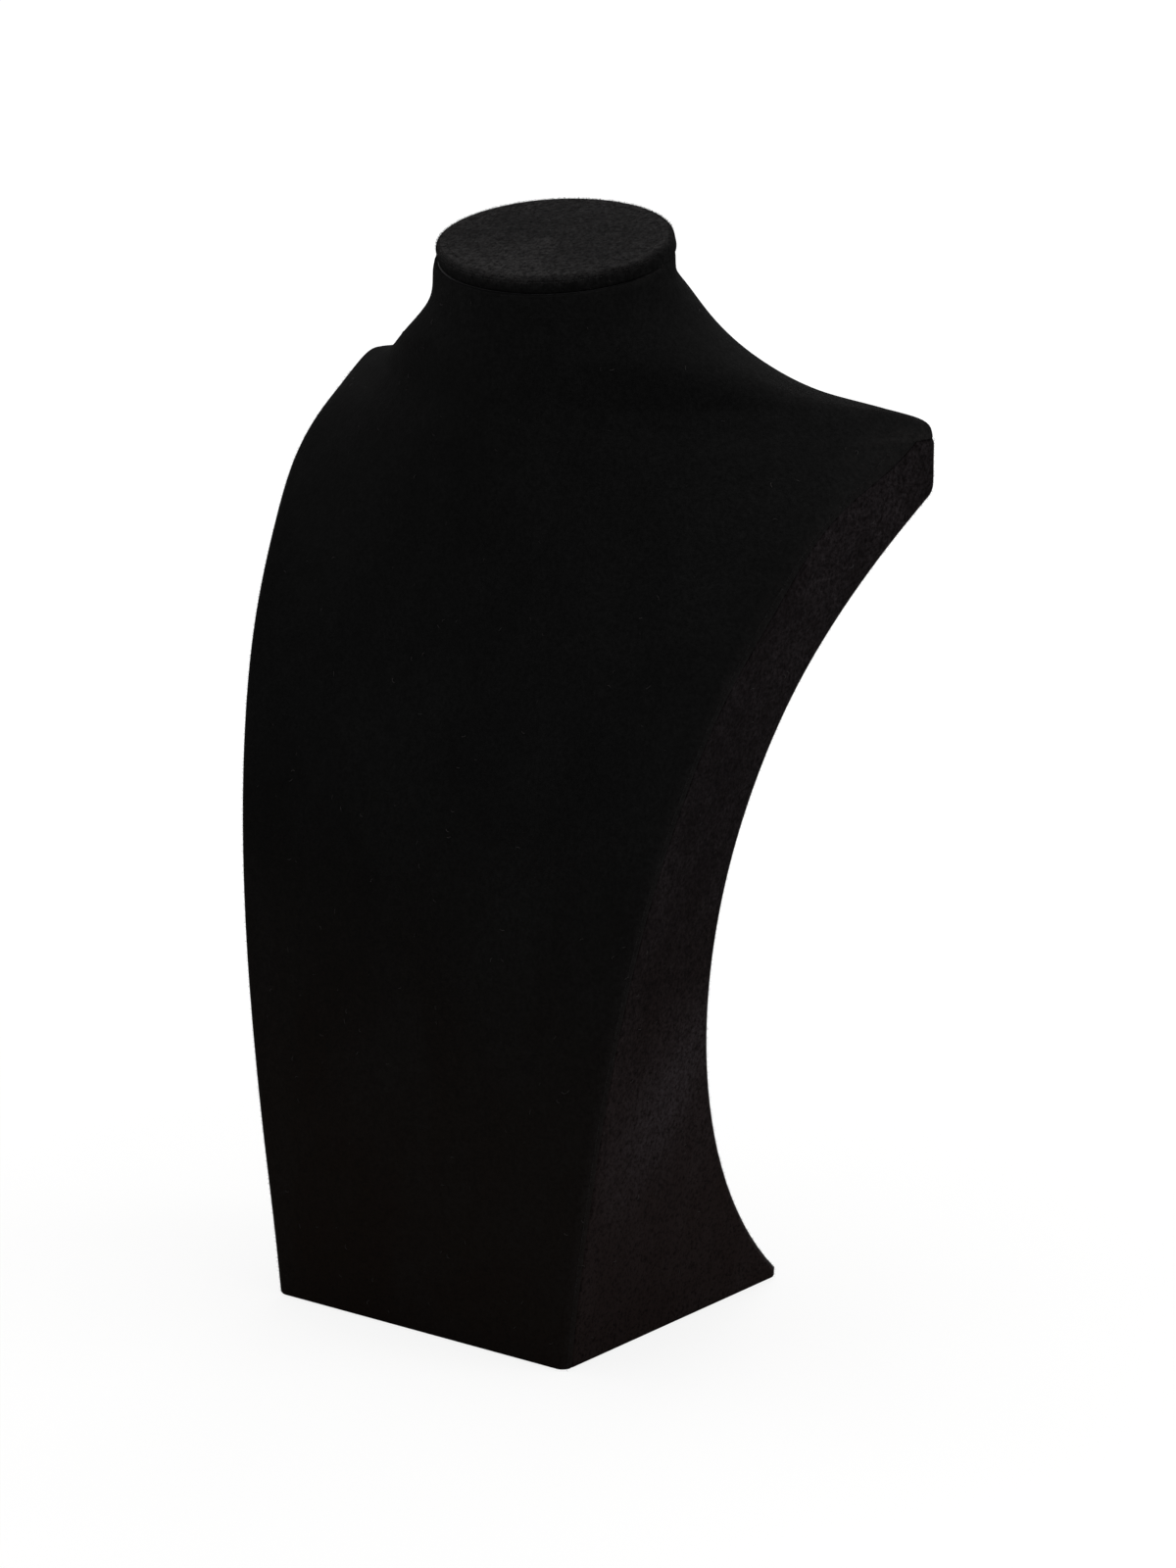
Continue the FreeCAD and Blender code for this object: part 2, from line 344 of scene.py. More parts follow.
    def outline(self, place: float, turns: np.ndarray) -> np.ndarray:
        """Return points of the right half outline at a place along the sections.

        Args:
            place: Place along the row of sections.
            turns: Values from 0, the middle of the front, to 5, the middle of the back.

        Returns:
            Array of shape (len(turns), 3).
        """
        poles = self.poles_at(place)
        first = np.clip(turns.astype(int), 0, 4)
        t = (turns - first)[:, None]
        a, b, c, d = (poles[3 * first + k] for k in range(4))
        return (1 - t) ** 3 * a + 3 * (1 - t) ** 2 * t * b + 3 * (1 - t) * t * t * c + t ** 3 * d

    def place_at(self, z: float) -> float:
        """Return the place along the sections where the middle of the front is at height z."""
        places = np.linspace(self.knots[0], self.knots[-1], 1200)
        heights = [self.poles_at(p)[0, 2] for p in places]
        return float(np.interp(z, heights, places))

    def arch_height(self, x: float) -> float:
        """Return the height of the back cover's arched top seam at x."""
        half_span = self.back_seam_span / 2
        radius = (half_span ** 2 + self.back_seam_drop ** 2) / (2 * self.back_seam_drop)
        crown = self.shoulder_height + self.back_seam_crown
        return crown - radius + math.sqrt(radius ** 2 - x * x)


def unit(value: float) -> float:
    """Return a value kept between 0 and 1."""
    return min(max(value, 0.0), 1.0)


def smooth_step(share: float) -> float:
    """Return a share from 0 to 1 made to start and end level."""
    return 3 * share ** 2 - 2 * share ** 3


def split_cubic(poles: np.ndarray, t: float) -> tuple[np.ndarray, np.ndarray]:
    """Return the poles of both parts of a cubic that is cut at t."""
    a = poles[:-1] + (poles[1:] - poles[:-1]) * t
    b = a[:-1] + (a[1:] - a[:-1]) * t
    c = b[0] + (b[1] - b[0]) * t
    return np.array([poles[0], a[0], b[0], c]), np.array([c, b[1], a[2], poles[3]])


# ---------------------------------------------------------------- cloth


@dataclass
class Patch:
    """A grid of surface points in millimetres, with the cloth's own coordinates.

    Attributes:
        points: Array (rows, columns, 3); the outside is on the left when going
            up the rows with the columns running to the right.
        cloth: Array (rows, columns, 2) of places on the flat cloth, in millimetres.
        wear_and_painted_light: Array (rows, columns), from 0, fresh pile, to 1, worn open at a
            fold; on the disc and at the neck's joint it also holds painted light.
    """

    points: np.ndarray
    cloth: np.ndarray
    wear_and_painted_light: np.ndarray

    def mirrored(self) -> "Patch":
        """Return the patch's mirror image in X, still facing outwards."""
        points = self.points[:, ::-1].copy()
        points[..., 0] *= -1
        cloth = self.cloth[:, ::-1].copy()
        cloth[..., 0] *= -1
        return Patch(points, cloth, self.wear_and_painted_light[:, ::-1].copy())


def cloth_places(points: np.ndarray, middle: int, row_lengths: np.ndarray) -> np.ndarray:
    """Return flat cloth coordinates: distance across from a middle column, and along.

    Args:
        points: Array (rows, columns, 3).
        middle: Column that lies at zero across.
        row_lengths: Distance along the cloth of each row.

    Returns:
        Array (rows, columns, 2) in millimetres.
    """
    steps = np.linalg.norm(np.diff(points, axis=1), axis=2)
    across = np.concatenate([np.zeros((len(points), 1)), np.cumsum(steps, axis=1)], axis=1)
    across -= across[:, middle:middle + 1]
    along = np.broadcast_to(row_lengths[:, None], across.shape)
    return np.stack([across, along], axis=2)


def along_column(points: np.ndarray, column: int) -> np.ndarray:
    """Return the distance along one column of a grid, from its first row."""
    steps = np.linalg.norm(np.diff(points[:, column], axis=0), axis=1)
    return np.concatenate([[0.0], np.cumsum(steps)])


class ClothSheet:
    """A cloth cover made of patches that join, with thickness and rounded edges.

    EDGE_SHARE is how much of a full quarter round a rim takes, and LEAST_EDGE how
    thick the cloth still is at its thinnest, in millimetres.
    """

    EDGE_SHARE = 0.92
    LEAST_EDGE = 0.12

    def __init__(self, name: str, patches: list[Patch], thickness: float = 0.9) -> None:
        """Join the patches into one sheet of quads.

        Args:
            name: Name of the piece.
            patches: Grids that share their common edges.
            thickness: Thickness of the cloth in millimetres, laid inwards.
        """
        self.name = name
        self.thickness = thickness
        points, cloth, wear_and_painted_light, quads, start = [], [], [], [], 0
        for patch in patches:
            rows, columns = patch.points.shape[:2]
            index = start + np.arange(rows * columns).reshape(rows, columns)
            low, high = index[:-1], index[1:]
            ring = [low[:, :-1], low[:, 1:], high[:, 1:], high[:, :-1]]
            quads.append(np.stack(ring, 2).reshape(-1, 4))
            points.append(patch.points.reshape(-1, 3))
            cloth.append(patch.cloth.reshape(-1, 2))
            wear_and_painted_light.append(patch.wear_and_painted_light.reshape(-1))
            start += rows * columns
        spots = np.concatenate(points)
        corners = np.concatenate(quads)
        _, first, same = np.unique(
            np.round(spots, 4), axis=0, return_index=True, return_inverse=True)
        self.points = spots[first]
        self.wear_and_painted_light = np.concatenate(wear_and_painted_light)[first]
        joined = same.reshape(-1)[corners]
        whole = np.array([len(set(quad)) for quad in joined.tolist()]) >= 3
        self.quads = joined[whole]
        self.quad_cloth = np.concatenate(cloth)[corners][whole]

    def normals(self) -> np.ndarray:
        """Return the outward normal at each point."""
        a, b, c, d = (self.points[self.quads[:, k]] for k in range(4))
        face = np.cross(c - a, d - b)
        total = np.zeros_like(self.points)
        for k in range(4):
            np.add.at(total, self.quads[:, k], face)
        return total / np.maximum(np.linalg.norm(total, axis=1, keepdims=True), 1e-12)

    def rim(self) -> list[tuple[int, int]]:
        """Return the directed edges that belong to one quad only."""
        seen: dict[tuple[int, int], int] = {}
        for quad in self.quads.tolist():
            ring = [p for i, p in enumerate(quad) if p != quad[i - 1]]
            for i, b in enumerate(ring):
                seen[(ring[i - 1], b)] = 1
        return [edge for edge in seen if (edge[1], edge[0]) not in seen]

    def edge_drop(self, rim: list[tuple[int, int]], floor_z: float) -> np.ndarray:
        """Return how far each point sinks where the cloth rounds over at its edges.

        Args:
            rim: Edges of the sheet.
            floor_z: Height below which an edge is turned under the base.

        Returns:
            Depth for each point in millimetres.
        """
        drop = np.zeros(len(self.points))
        ends = sorted({p for edge in rim for p in edge})
        for style in Seam:
            turned = style is Seam.TURNED_UNDER
            low = [p for p in ends if (self.points[p, 2] < floor_z) == turned]
            if not low:
                continue
            tree = kdtree.KDTree(len(low))
            for number, p in enumerate(low):
                tree.insert(Vector(self.points[p]), number)
            tree.balance()
            radius = style.value
            for p in range(len(self.points)):
                far = tree.find(Vector(self.points[p]))[2]
                if far < radius:
                    fall = radius - math.sqrt(max(radius ** 2 - (radius - far) ** 2, 0.0))
                    drop[p] = max(drop[p], self.EDGE_SHARE * fall)
        return drop

    def build(self, material: bpy.types.Material, floor_z: float = 1.2) -> bpy.types.Object:
        """Return the finished sheet as an object with thickness, UVs and its material.

        Args:
            material: Finish of the cloth.
            floor_z: Height below which an edge is turned under the base.

        Returns:
            The new object, in metres at the origin.
        """
        normals = self.normals()
        rim = self.rim()
        drop = self.edge_drop(rim, floor_z)
        outer = self.points - normals * drop[:, None]
        deep = np.maximum(self.thickness, drop + self.LEAST_EDGE)
        inner = self.points - normals * deep[:, None]
        count = len(outer)
        faces, places, spots = [], [], {}
        for quad, cloth in zip(self.quads.tolist(), self.quad_cloth.tolist()):
            spots.update(zip(quad, cloth))
            ring = [i for i in range(4) if quad[i] != quad[i - 1]]
            faces.append([quad[i] for i in ring])
            places.append([cloth[i] for i in ring])
            faces.append([quad[i] + count for i in reversed(ring)])
            places.append([cloth[i] for i in reversed(ring)])
        for a, b in rim:
            faces.append([b, a, a + count, b + count])
            places.append([spots[b], spots[a], spots[a], spots[b]])
        piece = mesh_object(self.name, np.concatenate([outer, inner]), faces, material, places)
        wear = piece.data.attributes.new("wear_and_painted_light", "FLOAT", "POINT")
        wear.data.foreach_set("value", np.tile(self.wear_and_painted_light, 2).astype(np.float32))
        return piece


def put_in_scene(name: str, data: bpy.types.ID) -> bpy.types.Object:
    """Return a new object that holds the data, linked to the scene."""
    thing = bpy.data.objects.new(name, data)
    bpy.context.scene.collection.objects.link(thing)
    return thing


def mesh_object(name: str, points: np.ndarray, faces: list[list[int]],
                material: bpy.types.Material,
                places: list[list[list[float]]] | None = None) -> bpy.types.Object:
    """Return a smooth mesh object in metres from points in millimetres.

    Args:
        name: Name of the piece.
        points: Array (n, 3) in millimetres.
        faces: Corner numbers of each face.
        material: Finish of every face.
        places: Cloth coordinates of each corner in millimetres, if it has any.

    Returns:
        The new object.
    """
    mesh = bpy.data.meshes.new(name)
    mesh.from_pydata((points * MM).tolist(), [], faces)
    if places is not None:
        layer = mesh.uv_layers.new(name="cloth")
        flat = np.array([c for face in places for c in face], dtype=np.float32) * MM
        layer.data.foreach_set("uv", flat.reshape(-1))
    mesh.polygons.foreach_set("use_smooth", [True] * len(mesh.polygons))
    mesh.materials.append(material)
    mesh.validate()
    mesh.update()
    return put_in_scene(name, mesh)


# ---------------------------------------------------------------- finishes


def linear(colour: str) -> tuple[float, float, float, float]:
    """Return an sRGB hex colour as linear RGBA."""
    parts = [int(colour[i:i + 2], 16) / 255 for i in (1, 3, 5)]
    red, green, blue = [
        c / 12.92 if c <= 0.04045 else ((c + 0.055) / 1.055) ** 2.4 for c in parts]
    return red, green, blue, 1.0


def add_node(tree: bpy.types.NodeTree, kind: str, links: dict | None = None,
             **settings: object) -> bpy.types.Node:
    """Add one node to a tree with its settings, values and links.

    Args:
        tree: The node tree.
        kind: Type name of the node.
        links: Input name or number to a value or to an output socket.
        **settings: Attributes of the node itself.

    Returns:
        The new node.
    """
    node = tree.nodes.new(kind)
    for key, value in settings.items():
        setattr(node, key, value)
    for key, value in (links or {}).items():
        socket = node.inputs[key]
        if isinstance(value, bpy.types.NodeSocket):
            tree.links.new(value, socket)
        else:
            socket.default_value = value
    return node


def new_material(name: str) -> tuple[bpy.types.Material, bpy.types.NodeTree, bpy.types.Node]:
    """Return a new node material with its tree and its surface shader."""
    material = bpy.data.materials.new(name)
    material.use_nodes = True
    tree = material.node_tree
    return material, tree, tree.nodes["Principled BSDF"]


def grained_skin(tree: bpy.types.NodeTree, shader: bpy.types.Node, tone: bpy.types.NodeSocket,
                 colours: tuple[str, str], relief: bpy.types.NodeSocket,
                 depths: tuple[float, float]) -> None:
    """Colour a surface between two tones and raise its grain.

    Args:
        tree: The material's tree.
        shader: Its surface shader.
        tone: Share of the second colour.
        colours: The two colours as sRGB hex.
        relief: Height of the grain.
        depths: Strength of the relief and its depth in metres.
    """
    colour = add_node(tree, "ShaderNodeMix", {
        "Factor": tone, 6: linear(colours[0]), 7: linear(colours[1])}, data_type="RGBA")
    tree.links.new(colour.outputs[2], shader.inputs["Base Color"])
    bump = add_node(tree, "ShaderNodeBump", {
        "Height": relief, "Strength": depths[0], "Distance": depths[1]})
    tree.links.new(bump.outputs[0], shader.inputs["Normal"])


@dataclass(frozen=True)
class CottonVelvet:
    """Black cotton velvet: cut pile about a millimetre long, brushed unevenly.

    The pile swallows light when it is seen end on and shows a soft grey bloom
    where it leans, so the cloth looks cloudy, with a fine grain of tufts. Where
    the pile is worn open at folds it turns paler; the same paler colour also paints
    light on the disc's top and rim and at the neck's joint.

    Attributes:
        name: Name of the finish.
        deep: Colour of the pile seen end on.
        bloom: Colour of the pile that leans.
        rub: Colour of the pile that is worn open, and of the light painted on the disc and at the
            neck's joint.
        foot: Colour of the pile low down, where its black has turned brown.
        bloom_share: How much of the bloom shows.
        grain: How far single tufts stand out from the cloud they are in.
        painted_light_sweep: How fast the bloom grows to the right and upwards, per millimetre:
            painted light, brighter towards the lamps.
        stroke: Brushed mark: middle across and along the cloth, half width and half
            length in millimetres, turn in radians, and strength.
        lie: How far the pile leans where nothing brushed it.
        cloud_share: How much the brushed clouds add to that.
        cloud_size: Size of the brushed clouds, in millimetres.
    """

    name: str
    deep: str
    bloom: str
    rub: str
    foot: str
    bloom_share: float
    grain: float
    painted_light_sweep: tuple[float, float] = (0.0, 0.0)
    stroke: tuple[float, float, float, float, float, float] = (0.0, 0.0, 1.0, 1.0, 0.0, 0.0)
    lie: float = 0.25
    cloud_share: float = 0.5
    cloud_size: float = 38.0

    def build(self) -> bpy.types.Material:
        """Return the material."""
        material, tree, shader = new_material(self.name)
        place = add_node(tree, "ShaderNodeTexCoord")
        cloth = add_node(tree, "ShaderNodeUVMap", uv_map="cloth")
        strokes = add_node(tree, "ShaderNodeMapping", {
            "Vector": place.outputs["Object"], "Rotation": (0.0, 0.35, 0.0),
            "Scale": (1.0, 1.0, 0.6)})
        # clouds where the pile was brushed
        clouds = add_node(tree, "ShaderNodeTexNoise", {
            "Vector": strokes.outputs[0], "Scale": 1000.0 / self.cloud_size, "Detail": 4.0,
            "Roughness": 0.6, "Distortion": 0.4})
        # tufts, drawn 1.4 mm across: the real 0.3 mm ones are too fine to show
        tufts = add_node(tree, "ShaderNodeTexNoise", {
            "Vector": place.outputs["Object"], "Scale": 720.0, "Detail": 3.0, "Roughness": 0.75})
        # pile lying this way and that in patches 4 mm across
        lay = add_node(tree, "ShaderNodeTexNoise", {
            "Vector": place.outputs["Object"], "Scale": 240.0, "Detail": 3.0, "Roughness": 0.7})
        cloud = add_node(tree, "ShaderNodeMapRange", {
            "Value": clouds.outputs["Fac"], "From Min": 0.38, "From Max": 0.66})
        tuft = add_node(tree, "ShaderNodeMapRange", {
            "Value": tufts.outputs["Fac"], "From Min": 0.36, "From Max": 0.68,
            "To Min": 1 - self.grain, "To Max": 1 + 1.3 * self.grain})
        patch = add_node(tree, "ShaderNodeMapRange", {
            "Value": lay.outputs["Fac"], "From Min": 0.35, "From Max": 0.65,
            "To Min": 1 - 0.35 * self.grain, "To Max": 1 + 0.35 * self.grain})
        nap = add_node(tree, "ShaderNodeMath", {0: tuft.outputs[0], 1: patch.outputs[0]},
                       operation="MULTIPLY")
        lean = add_node(tree, "ShaderNodeMath", {
            0: cloud.outputs[0], 1: self.cloud_share, 2: self.lie}, operation="MULTIPLY_ADD")
        # the last hand that passed over the cloth left one mark; the slow change across the whole
        # bust, paler to the right and upwards, is painted light
        way = add_node(tree, "ShaderNodeVectorMath", {
            0: place.outputs["Object"], 1: (self.painted_light_sweep[0] / MM, 0.0, self.painted_light_sweep[1] / MM)},
                       operation="DOT_PRODUCT")
        across, along, half_width, half_length, turn, strength = self.stroke
        mark_place = add_node(tree, "ShaderNodeMapping", {
            "Vector": cloth.outputs[0], "Location": (across * MM, along * MM, 0.0),
            "Rotation": (0.0, 0.0, turn), "Scale": (half_width * MM, half_length * MM, 1.0)},
                              vector_type="TEXTURE")
        mark = add_node(tree, "ShaderNodeTexGradient", {"Vector": mark_place.outputs[0]},
                        gradient_type="QUADRATIC_SPHERE")
        mark_and_painted_light = add_node(tree, "ShaderNodeMath", {
            0: mark.outputs["Fac"], 1: strength, 2: way.outputs["Value"]},
                          operation="MULTIPLY_ADD")
        # this sum carries the painted light of the slow change as well as the clouds and the mark
        brushed = add_node(tree, "ShaderNodeMath", {0: lean.outputs[0], 1: mark_and_painted_light.outputs[0]},
                           operation="ADD", use_clamp=True)
        leaning = add_node(tree, "ShaderNodeMath", {0: brushed.outputs[0], 1: nap.outputs[0]},
                           operation="MULTIPLY")
        share = add_node(tree, "ShaderNodeMath", {0: leaning.outputs[0], 1: self.bloom_share},
                         operation="MULTIPLY", use_clamp=True)
        # the dye has browned from the foot up, less and less to a height of 220 mm
        height = add_node(tree, "ShaderNodeSeparateXYZ", {0: place.outputs["Object"]})
        low = add_node(tree, "ShaderNodeMapRange", {
            "Value": height.outputs[2], "From Min": 0.02, "From Max": 0.22,
            "To Min": 1.0, "To Max": 0.0}, interpolation_type="SMOOTHSTEP")
        browned = add_node(tree, "ShaderNodeMath", {0: low.outputs[0], 1: nap.outputs[0]},
                           operation="MULTIPLY", use_clamp=True)
        ground = add_node(tree, "ShaderNodeMix", {
            "Factor": browned.outputs[0], 6: linear(self.deep), 7: linear(self.foot)},
                          data_type="RGBA")
        pile = add_node(tree, "ShaderNodeMix", {
            "Factor": share.outputs[0], 6: ground.outputs[2], 7: linear(self.bloom)},
                        data_type="RGBA")
        # the rubbed attribute pales the pile where it is worn and where light is painted on the
        # disc and at the neck's joint
        wear = add_node(tree, "ShaderNodeAttribute", attribute_name="wear_and_painted_light")
        open_nap = add_node(tree, "ShaderNodeMath", {0: wear.outputs["Fac"], 1: nap.outputs[0]},
                            operation="MULTIPLY", use_clamp=True)
        worn = add_node(tree, "ShaderNodeMix", {
            "Factor": open_nap.outputs[0], 6: pile.outputs[2], 7: linear(self.rub)},
                        data_type="RGBA")
        tree.links.new(worn.outputs[2], shader.inputs["Base Color"])
        relief = add_node(tree, "ShaderNodeMath", {0: tufts.outputs["Fac"], 1: lay.outputs["Fac"]},
                          operation="ADD")
        bump = add_node(tree, "ShaderNodeBump", {
            "Height": relief.outputs[0], "Strength": 0.6, "Distance": 0.0007})
        tree.links.new(bump.outputs[0], shader.inputs["Normal"])
        shader.inputs["Roughness"].default_value = 0.95
        # the pile traps light: hardly any gloss is left
        shader.inputs["Specular IOR Level"].default_value = 0.02
        return material


@dataclass(frozen=True)
class CottonFibre:
    """Single cotton fibres, cut or shed: dull, and paler where dust and twist catch light."""

    name: str
    dark: str
    light: str

    def build(self) -> bpy.types.Material:
        """Return the material."""
        material, tree, shader = new_material(self.name)
        place = add_node(tree, "ShaderNodeTexCoord")
        # dust and twist change the tone every 5 mm or so
        twist = add_node(tree, "ShaderNodeTexNoise", {
            "Vector": place.outputs["Object"], "Scale": 200.0, "Detail": 2.0})
        grained_skin(tree, shader, twist.outputs["Fac"], (self.dark, self.light),
                     twist.outputs["Fac"], (0.2, 0.0001))
        shader.inputs["Roughness"].default_value = 0.85
        shader.inputs["Specular IOR Level"].default_value = 0.2
        return material


@dataclass(frozen=True)
class NeedledFelt:
    """Black needled felt: matted fibres without a weave, dull and slightly grey."""

    name: str = "needled_wool_felt"
    dark: str = "#141314"
    light: str = "#2b2929"

    def build(self) -> bpy.types.Material:
        """Return the material."""
        material, tree, shader = new_material(self.name)
        place = add_node(tree, "ShaderNodeTexCoord")
        # fibres matted in every direction, drawn 0.8 mm across: real ones are finer
        fibres = add_node(tree, "ShaderNodeTexNoise", {
            "Vector": place.outputs["Object"], "Scale": 1300.0, "Detail": 4.0, "Distortion": 1.5})
        mats = add_node(tree, "ShaderNodeTexNoise", {
            "Vector": place.outputs["Object"], "Scale": 120.0, "Detail": 2.0})
        both = add_node(tree, "ShaderNodeMath", {0: fibres.outputs["Fac"], 1: mats.outputs["Fac"]},
                        operation="MULTIPLY")
        tone = add_node(tree, "ShaderNodeMapRange", {
            "Value": both.outputs[0], "From Min": 0.12, "From Max": 0.42})
        grained_skin(tree, shader, tone.outputs[0], (self.dark, self.light),
                     fibres.outputs["Fac"], (0.5, 0.0004))
        shader.inputs["Roughness"].default_value = 0.93
        shader.inputs["Specular IOR Level"].default_value = 0.15
        return material


@dataclass(frozen=True)
class Hardboard:
    """Pressed wood-fibre board: brown, dense, with short fibres and a dull face."""

    name: str = "pressed_hardboard"
    dark: str = "#5b4128"
    light: str = "#8a6a45"

    def build(self) -> bpy.types.Material:
        """Return the material."""
        material, tree, shader = new_material(self.name)
        place = add_node(tree, "ShaderNodeTexCoord")
        stretch = add_node(tree, "ShaderNodeMapping", {
            "Vector": place.outputs["Object"], "Scale": (1.0, 0.35, 1.0)})
        # fibres drawn about 1 mm wide and 3 mm long, and stains 20 mm across
        fibres = add_node(tree, "ShaderNodeTexNoise", {
            "Vector": stretch.outputs[0], "Scale": 900.0, "Detail": 4.0, "Distortion": 0.8})
        stains = add_node(tree, "ShaderNodeTexNoise", {
            "Vector": place.outputs["Object"], "Scale": 45.0, "Detail": 3.0})
        both = add_node(tree, "ShaderNodeMath", {
            0: fibres.outputs["Fac"], 1: stains.outputs["Fac"]}, operation="ADD")
        tone = add_node(tree, "ShaderNodeMapRange", {
            "Value": both.outputs[0], "From Min": 0.7, "From Max": 1.3})
        grained_skin(tree, shader, tone.outputs[0], (self.dark, self.light),
                     fibres.outputs["Fac"], (0.3, 0.0003))
        shader.inputs["Roughness"].default_value = 0.7
        return material


@dataclass(frozen=True)
class MouldedStyrene:
    """Vacuum-formed black polystyrene: an even dull skin with a faint orange peel."""

    name: str = "vacuum_formed_styrene"
    dark: str = "#1b1b1c"
    light: str = "#29292a"

    def build(self) -> bpy.types.Material:
        """Return the material."""
        material, tree, shader = new_material(self.name)
        place = add_node(tree, "ShaderNodeTexCoord")
        # orange peel 2 mm across
        peel = add_node(tree, "ShaderNodeTexNoise", {
            "Vector": place.outputs["Object"], "Scale": 420.0, "Detail": 2.0})
        dust = add_node(tree, "ShaderNodeTexNoise", {
            "Vector": place.outputs["Object"], "Scale": 30.0, "Detail": 4.0})
        grained_skin(tree, shader, dust.outputs["Fac"], (self.dark, self.light),
                     peel.outputs["Fac"], (0.15, 0.0002))
        rough = add_node(tree, "ShaderNodeMapRange", {
            "Value": dust.outputs["Fac"], "From Min": 0.3, "From Max": 0.7,
            "To Min": 0.45, "To Max": 0.62})
        tree.links.new(rough.outputs[0], shader.inputs["Roughness"])
        return material


# ---------------------------------------------------------------- sub-assemblies


@dataclass
class FrontAndNeckCover:
    """The one large piece of velvet over the front, the shoulders and the neck.

    Lengths are in millimetres, and wear, with the painted light at the neck's joint, runs from 0 to
    1. fold_start and fold_run are outline places, from 0, the middle of the front, to 5, the middle
       of the
    back. Each column of the neck is followed to search_over above the joint and
    stops stop_below under the disc. lip gives the inset and height of each row
    that is then tucked in under the disc.
    """

    form: BustForm
    hem: float = 0.35
    pull: float = 0.85
    pull_height: float = 4.0
    neck_wear_and_highlight: float = 0.4
    fold_wear: float = 0.2
    tip_wear: float = 0.42
    fold_start: float = 1.1
    fold_run: float = 0.8
    joint_paling_depth: float = 1.6
    left_painted_shade: float = 0.25
    search_over: float = 14.0
    stop_below: float = 0.5
    beside_seam: tuple[float, ...] = (0.16, 0.08, 0.03, 0.0)
    beside_ends: tuple[float, ...] = (0.15, 0.35, 0.7, 1.3)
    lip: tuple[tuple[float, float], ...] = (
        (0.06, -0.22), (0.22, 0.0), (0.5, 0.1), (0.9, 0.14), (1.4, 0.14), (2.0, 0.1))
    row_step: float = 2.2
    across_front: int = 44
    crease_run: float = 0.8
    round_crease: int = 12
    along_side: int = 5
    round_rear: int = 6
    across_back: int = 26
    patches: list[Patch] = field(init=False, default_factory=list)

    def tip_place(self) -> float:
        """Return the place along the sections where the side panels end."""
        return self.form.place_at(self.form.side_top)

    def top_place(self) -> float:
        """Return the place along the sections where the neck meets the disc."""
        form = self.form
        drop = (form.disc_board + form.velvet) / math.cos(form.tilt)
        under = form.disc_height - drop - form.disc_length / 2 * math.sin(form.tilt)
        return form.place_at(under)

    def front_turns(self) -> np.ndarray:
        """Return the outline places from the middle of the front to the side seam."""
        near = 2.0 - np.array(self.beside_seam)
        crease = 1 + np.linspace(0, self.crease_run, self.round_crease)
        return np.concatenate([np.linspace(0, 1, self.across_front)[:-1], crease, near])

    def rear_turns(self) -> np.ndarray:
        """Return the outline places from the side seam to the middle of the back."""
        side = 2 + np.linspace(0, 1, self.along_side)[1:]
        corner = 3 + np.linspace(0, 1, self.round_rear)[1:]
        back = 4 + np.linspace(0, 1, self.across_back)[1:]
        return np.concatenate([side, corner, back])

    def rows(self, low: float, high: float) -> np.ndarray:
        """Return places along the sections, finer beside both ends."""
        count = max(int((high - low) / self.row_step), 2)
        even = np.linspace(low, high, count)
        ends = np.array(self.beside_ends)
        return np.unique(np.round(np.concatenate([even, low + ends, high - ends]), 4))

    def front_patch(self, turns: np.ndarray, places: np.ndarray) -> Patch:
        """Return the patch of the front between the two side seams."""
        right = np.array([self.form.outline(p, turns) for p in places])
        left = right[:, :0:-1].copy()
        left[..., 0] *= -1
        points = np.concatenate([left, right], axis=1)
        middle = left.shape[1]
        both = np.concatenate([turns[:0:-1], turns])
        fold = np.clip((both - self.fold_start) / self.fold_run, 0, 1)
        wear_and_painted_light = np.tile(self.fold_wear * fold, (len(places), 1))
        return Patch(points, cloth_places(points, middle, along_column(points, middle)), wear_and_painted_light)

    def under_disc(self, point: np.ndarray) -> float:
        """Return how far a point lies below the plane under the disc."""
        form = self.form
        drop = form.disc_board + form.velvet
        rise = (point[2] - form.disc_height) * math.cos(form.tilt)
        return (point[1] - form.disc_setback) * math.sin(form.tilt) - rise - drop

    def drawn_in(self, point: np.ndarray) -> np.ndarray:
        """Return a point of the neck, pulled in towards the disc just under it."""
        below = self.under_disc(point)
        if below > self.pull_height:
            return point
        out = np.array([point[0], point[1] - self.form.disc_setback, 0.0])
        pull = self.pull * (1 - max(below, 0.0) / self.pull_height) ** 2
        return point - out / np.linalg.norm(out) * pull

    def ring_patch(self, turns: np.ndarray, places: np.ndarray, start: float) -> Patch:
        """Return the right half of the shoulders and neck, from the front to the back.

        Args:
            turns: Outline places from the middle of the front to the middle of the back.
            places: Places along the sections, from the shoulder tips up.
            start: Distance along the cloth at the first row.

        Returns:
            The patch. Behind the shoulder tips its first row follows the arched seam.
        """
        low, high = places[0], places[-1]
        share = (places - low) / (high - low)
        grid = np.zeros((len(places), len(turns), 3))
        wear_and_painted_light = np.zeros(grid.shape[:2])
        fine = np.linspace(low, min(high + self.search_over, self.form.knots[-1]), 300)
        for column, turn in enumerate(turns):
            path = np.array([self.form.outline(p, np.array([turn]))[0] for p in fine])
            last = float(np.interp(-self.stop_below, [-self.under_disc(p) for p in path], fine))
            first = low
            if turn > 4.0:
                above = [z - self.form.arch_height(x) for x, _, z in path]
                first = float(np.interp(0.0, above, fine))
            folded = unit((turn - self.fold_start) / self.fold_run)
            for row, part in enumerate(share):
                point = self.form.outline(first + (last - first) * part, np.array([turn]))[0]
                below = self.under_disc(point)
                grid[row, column] = self.drawn_in(point)
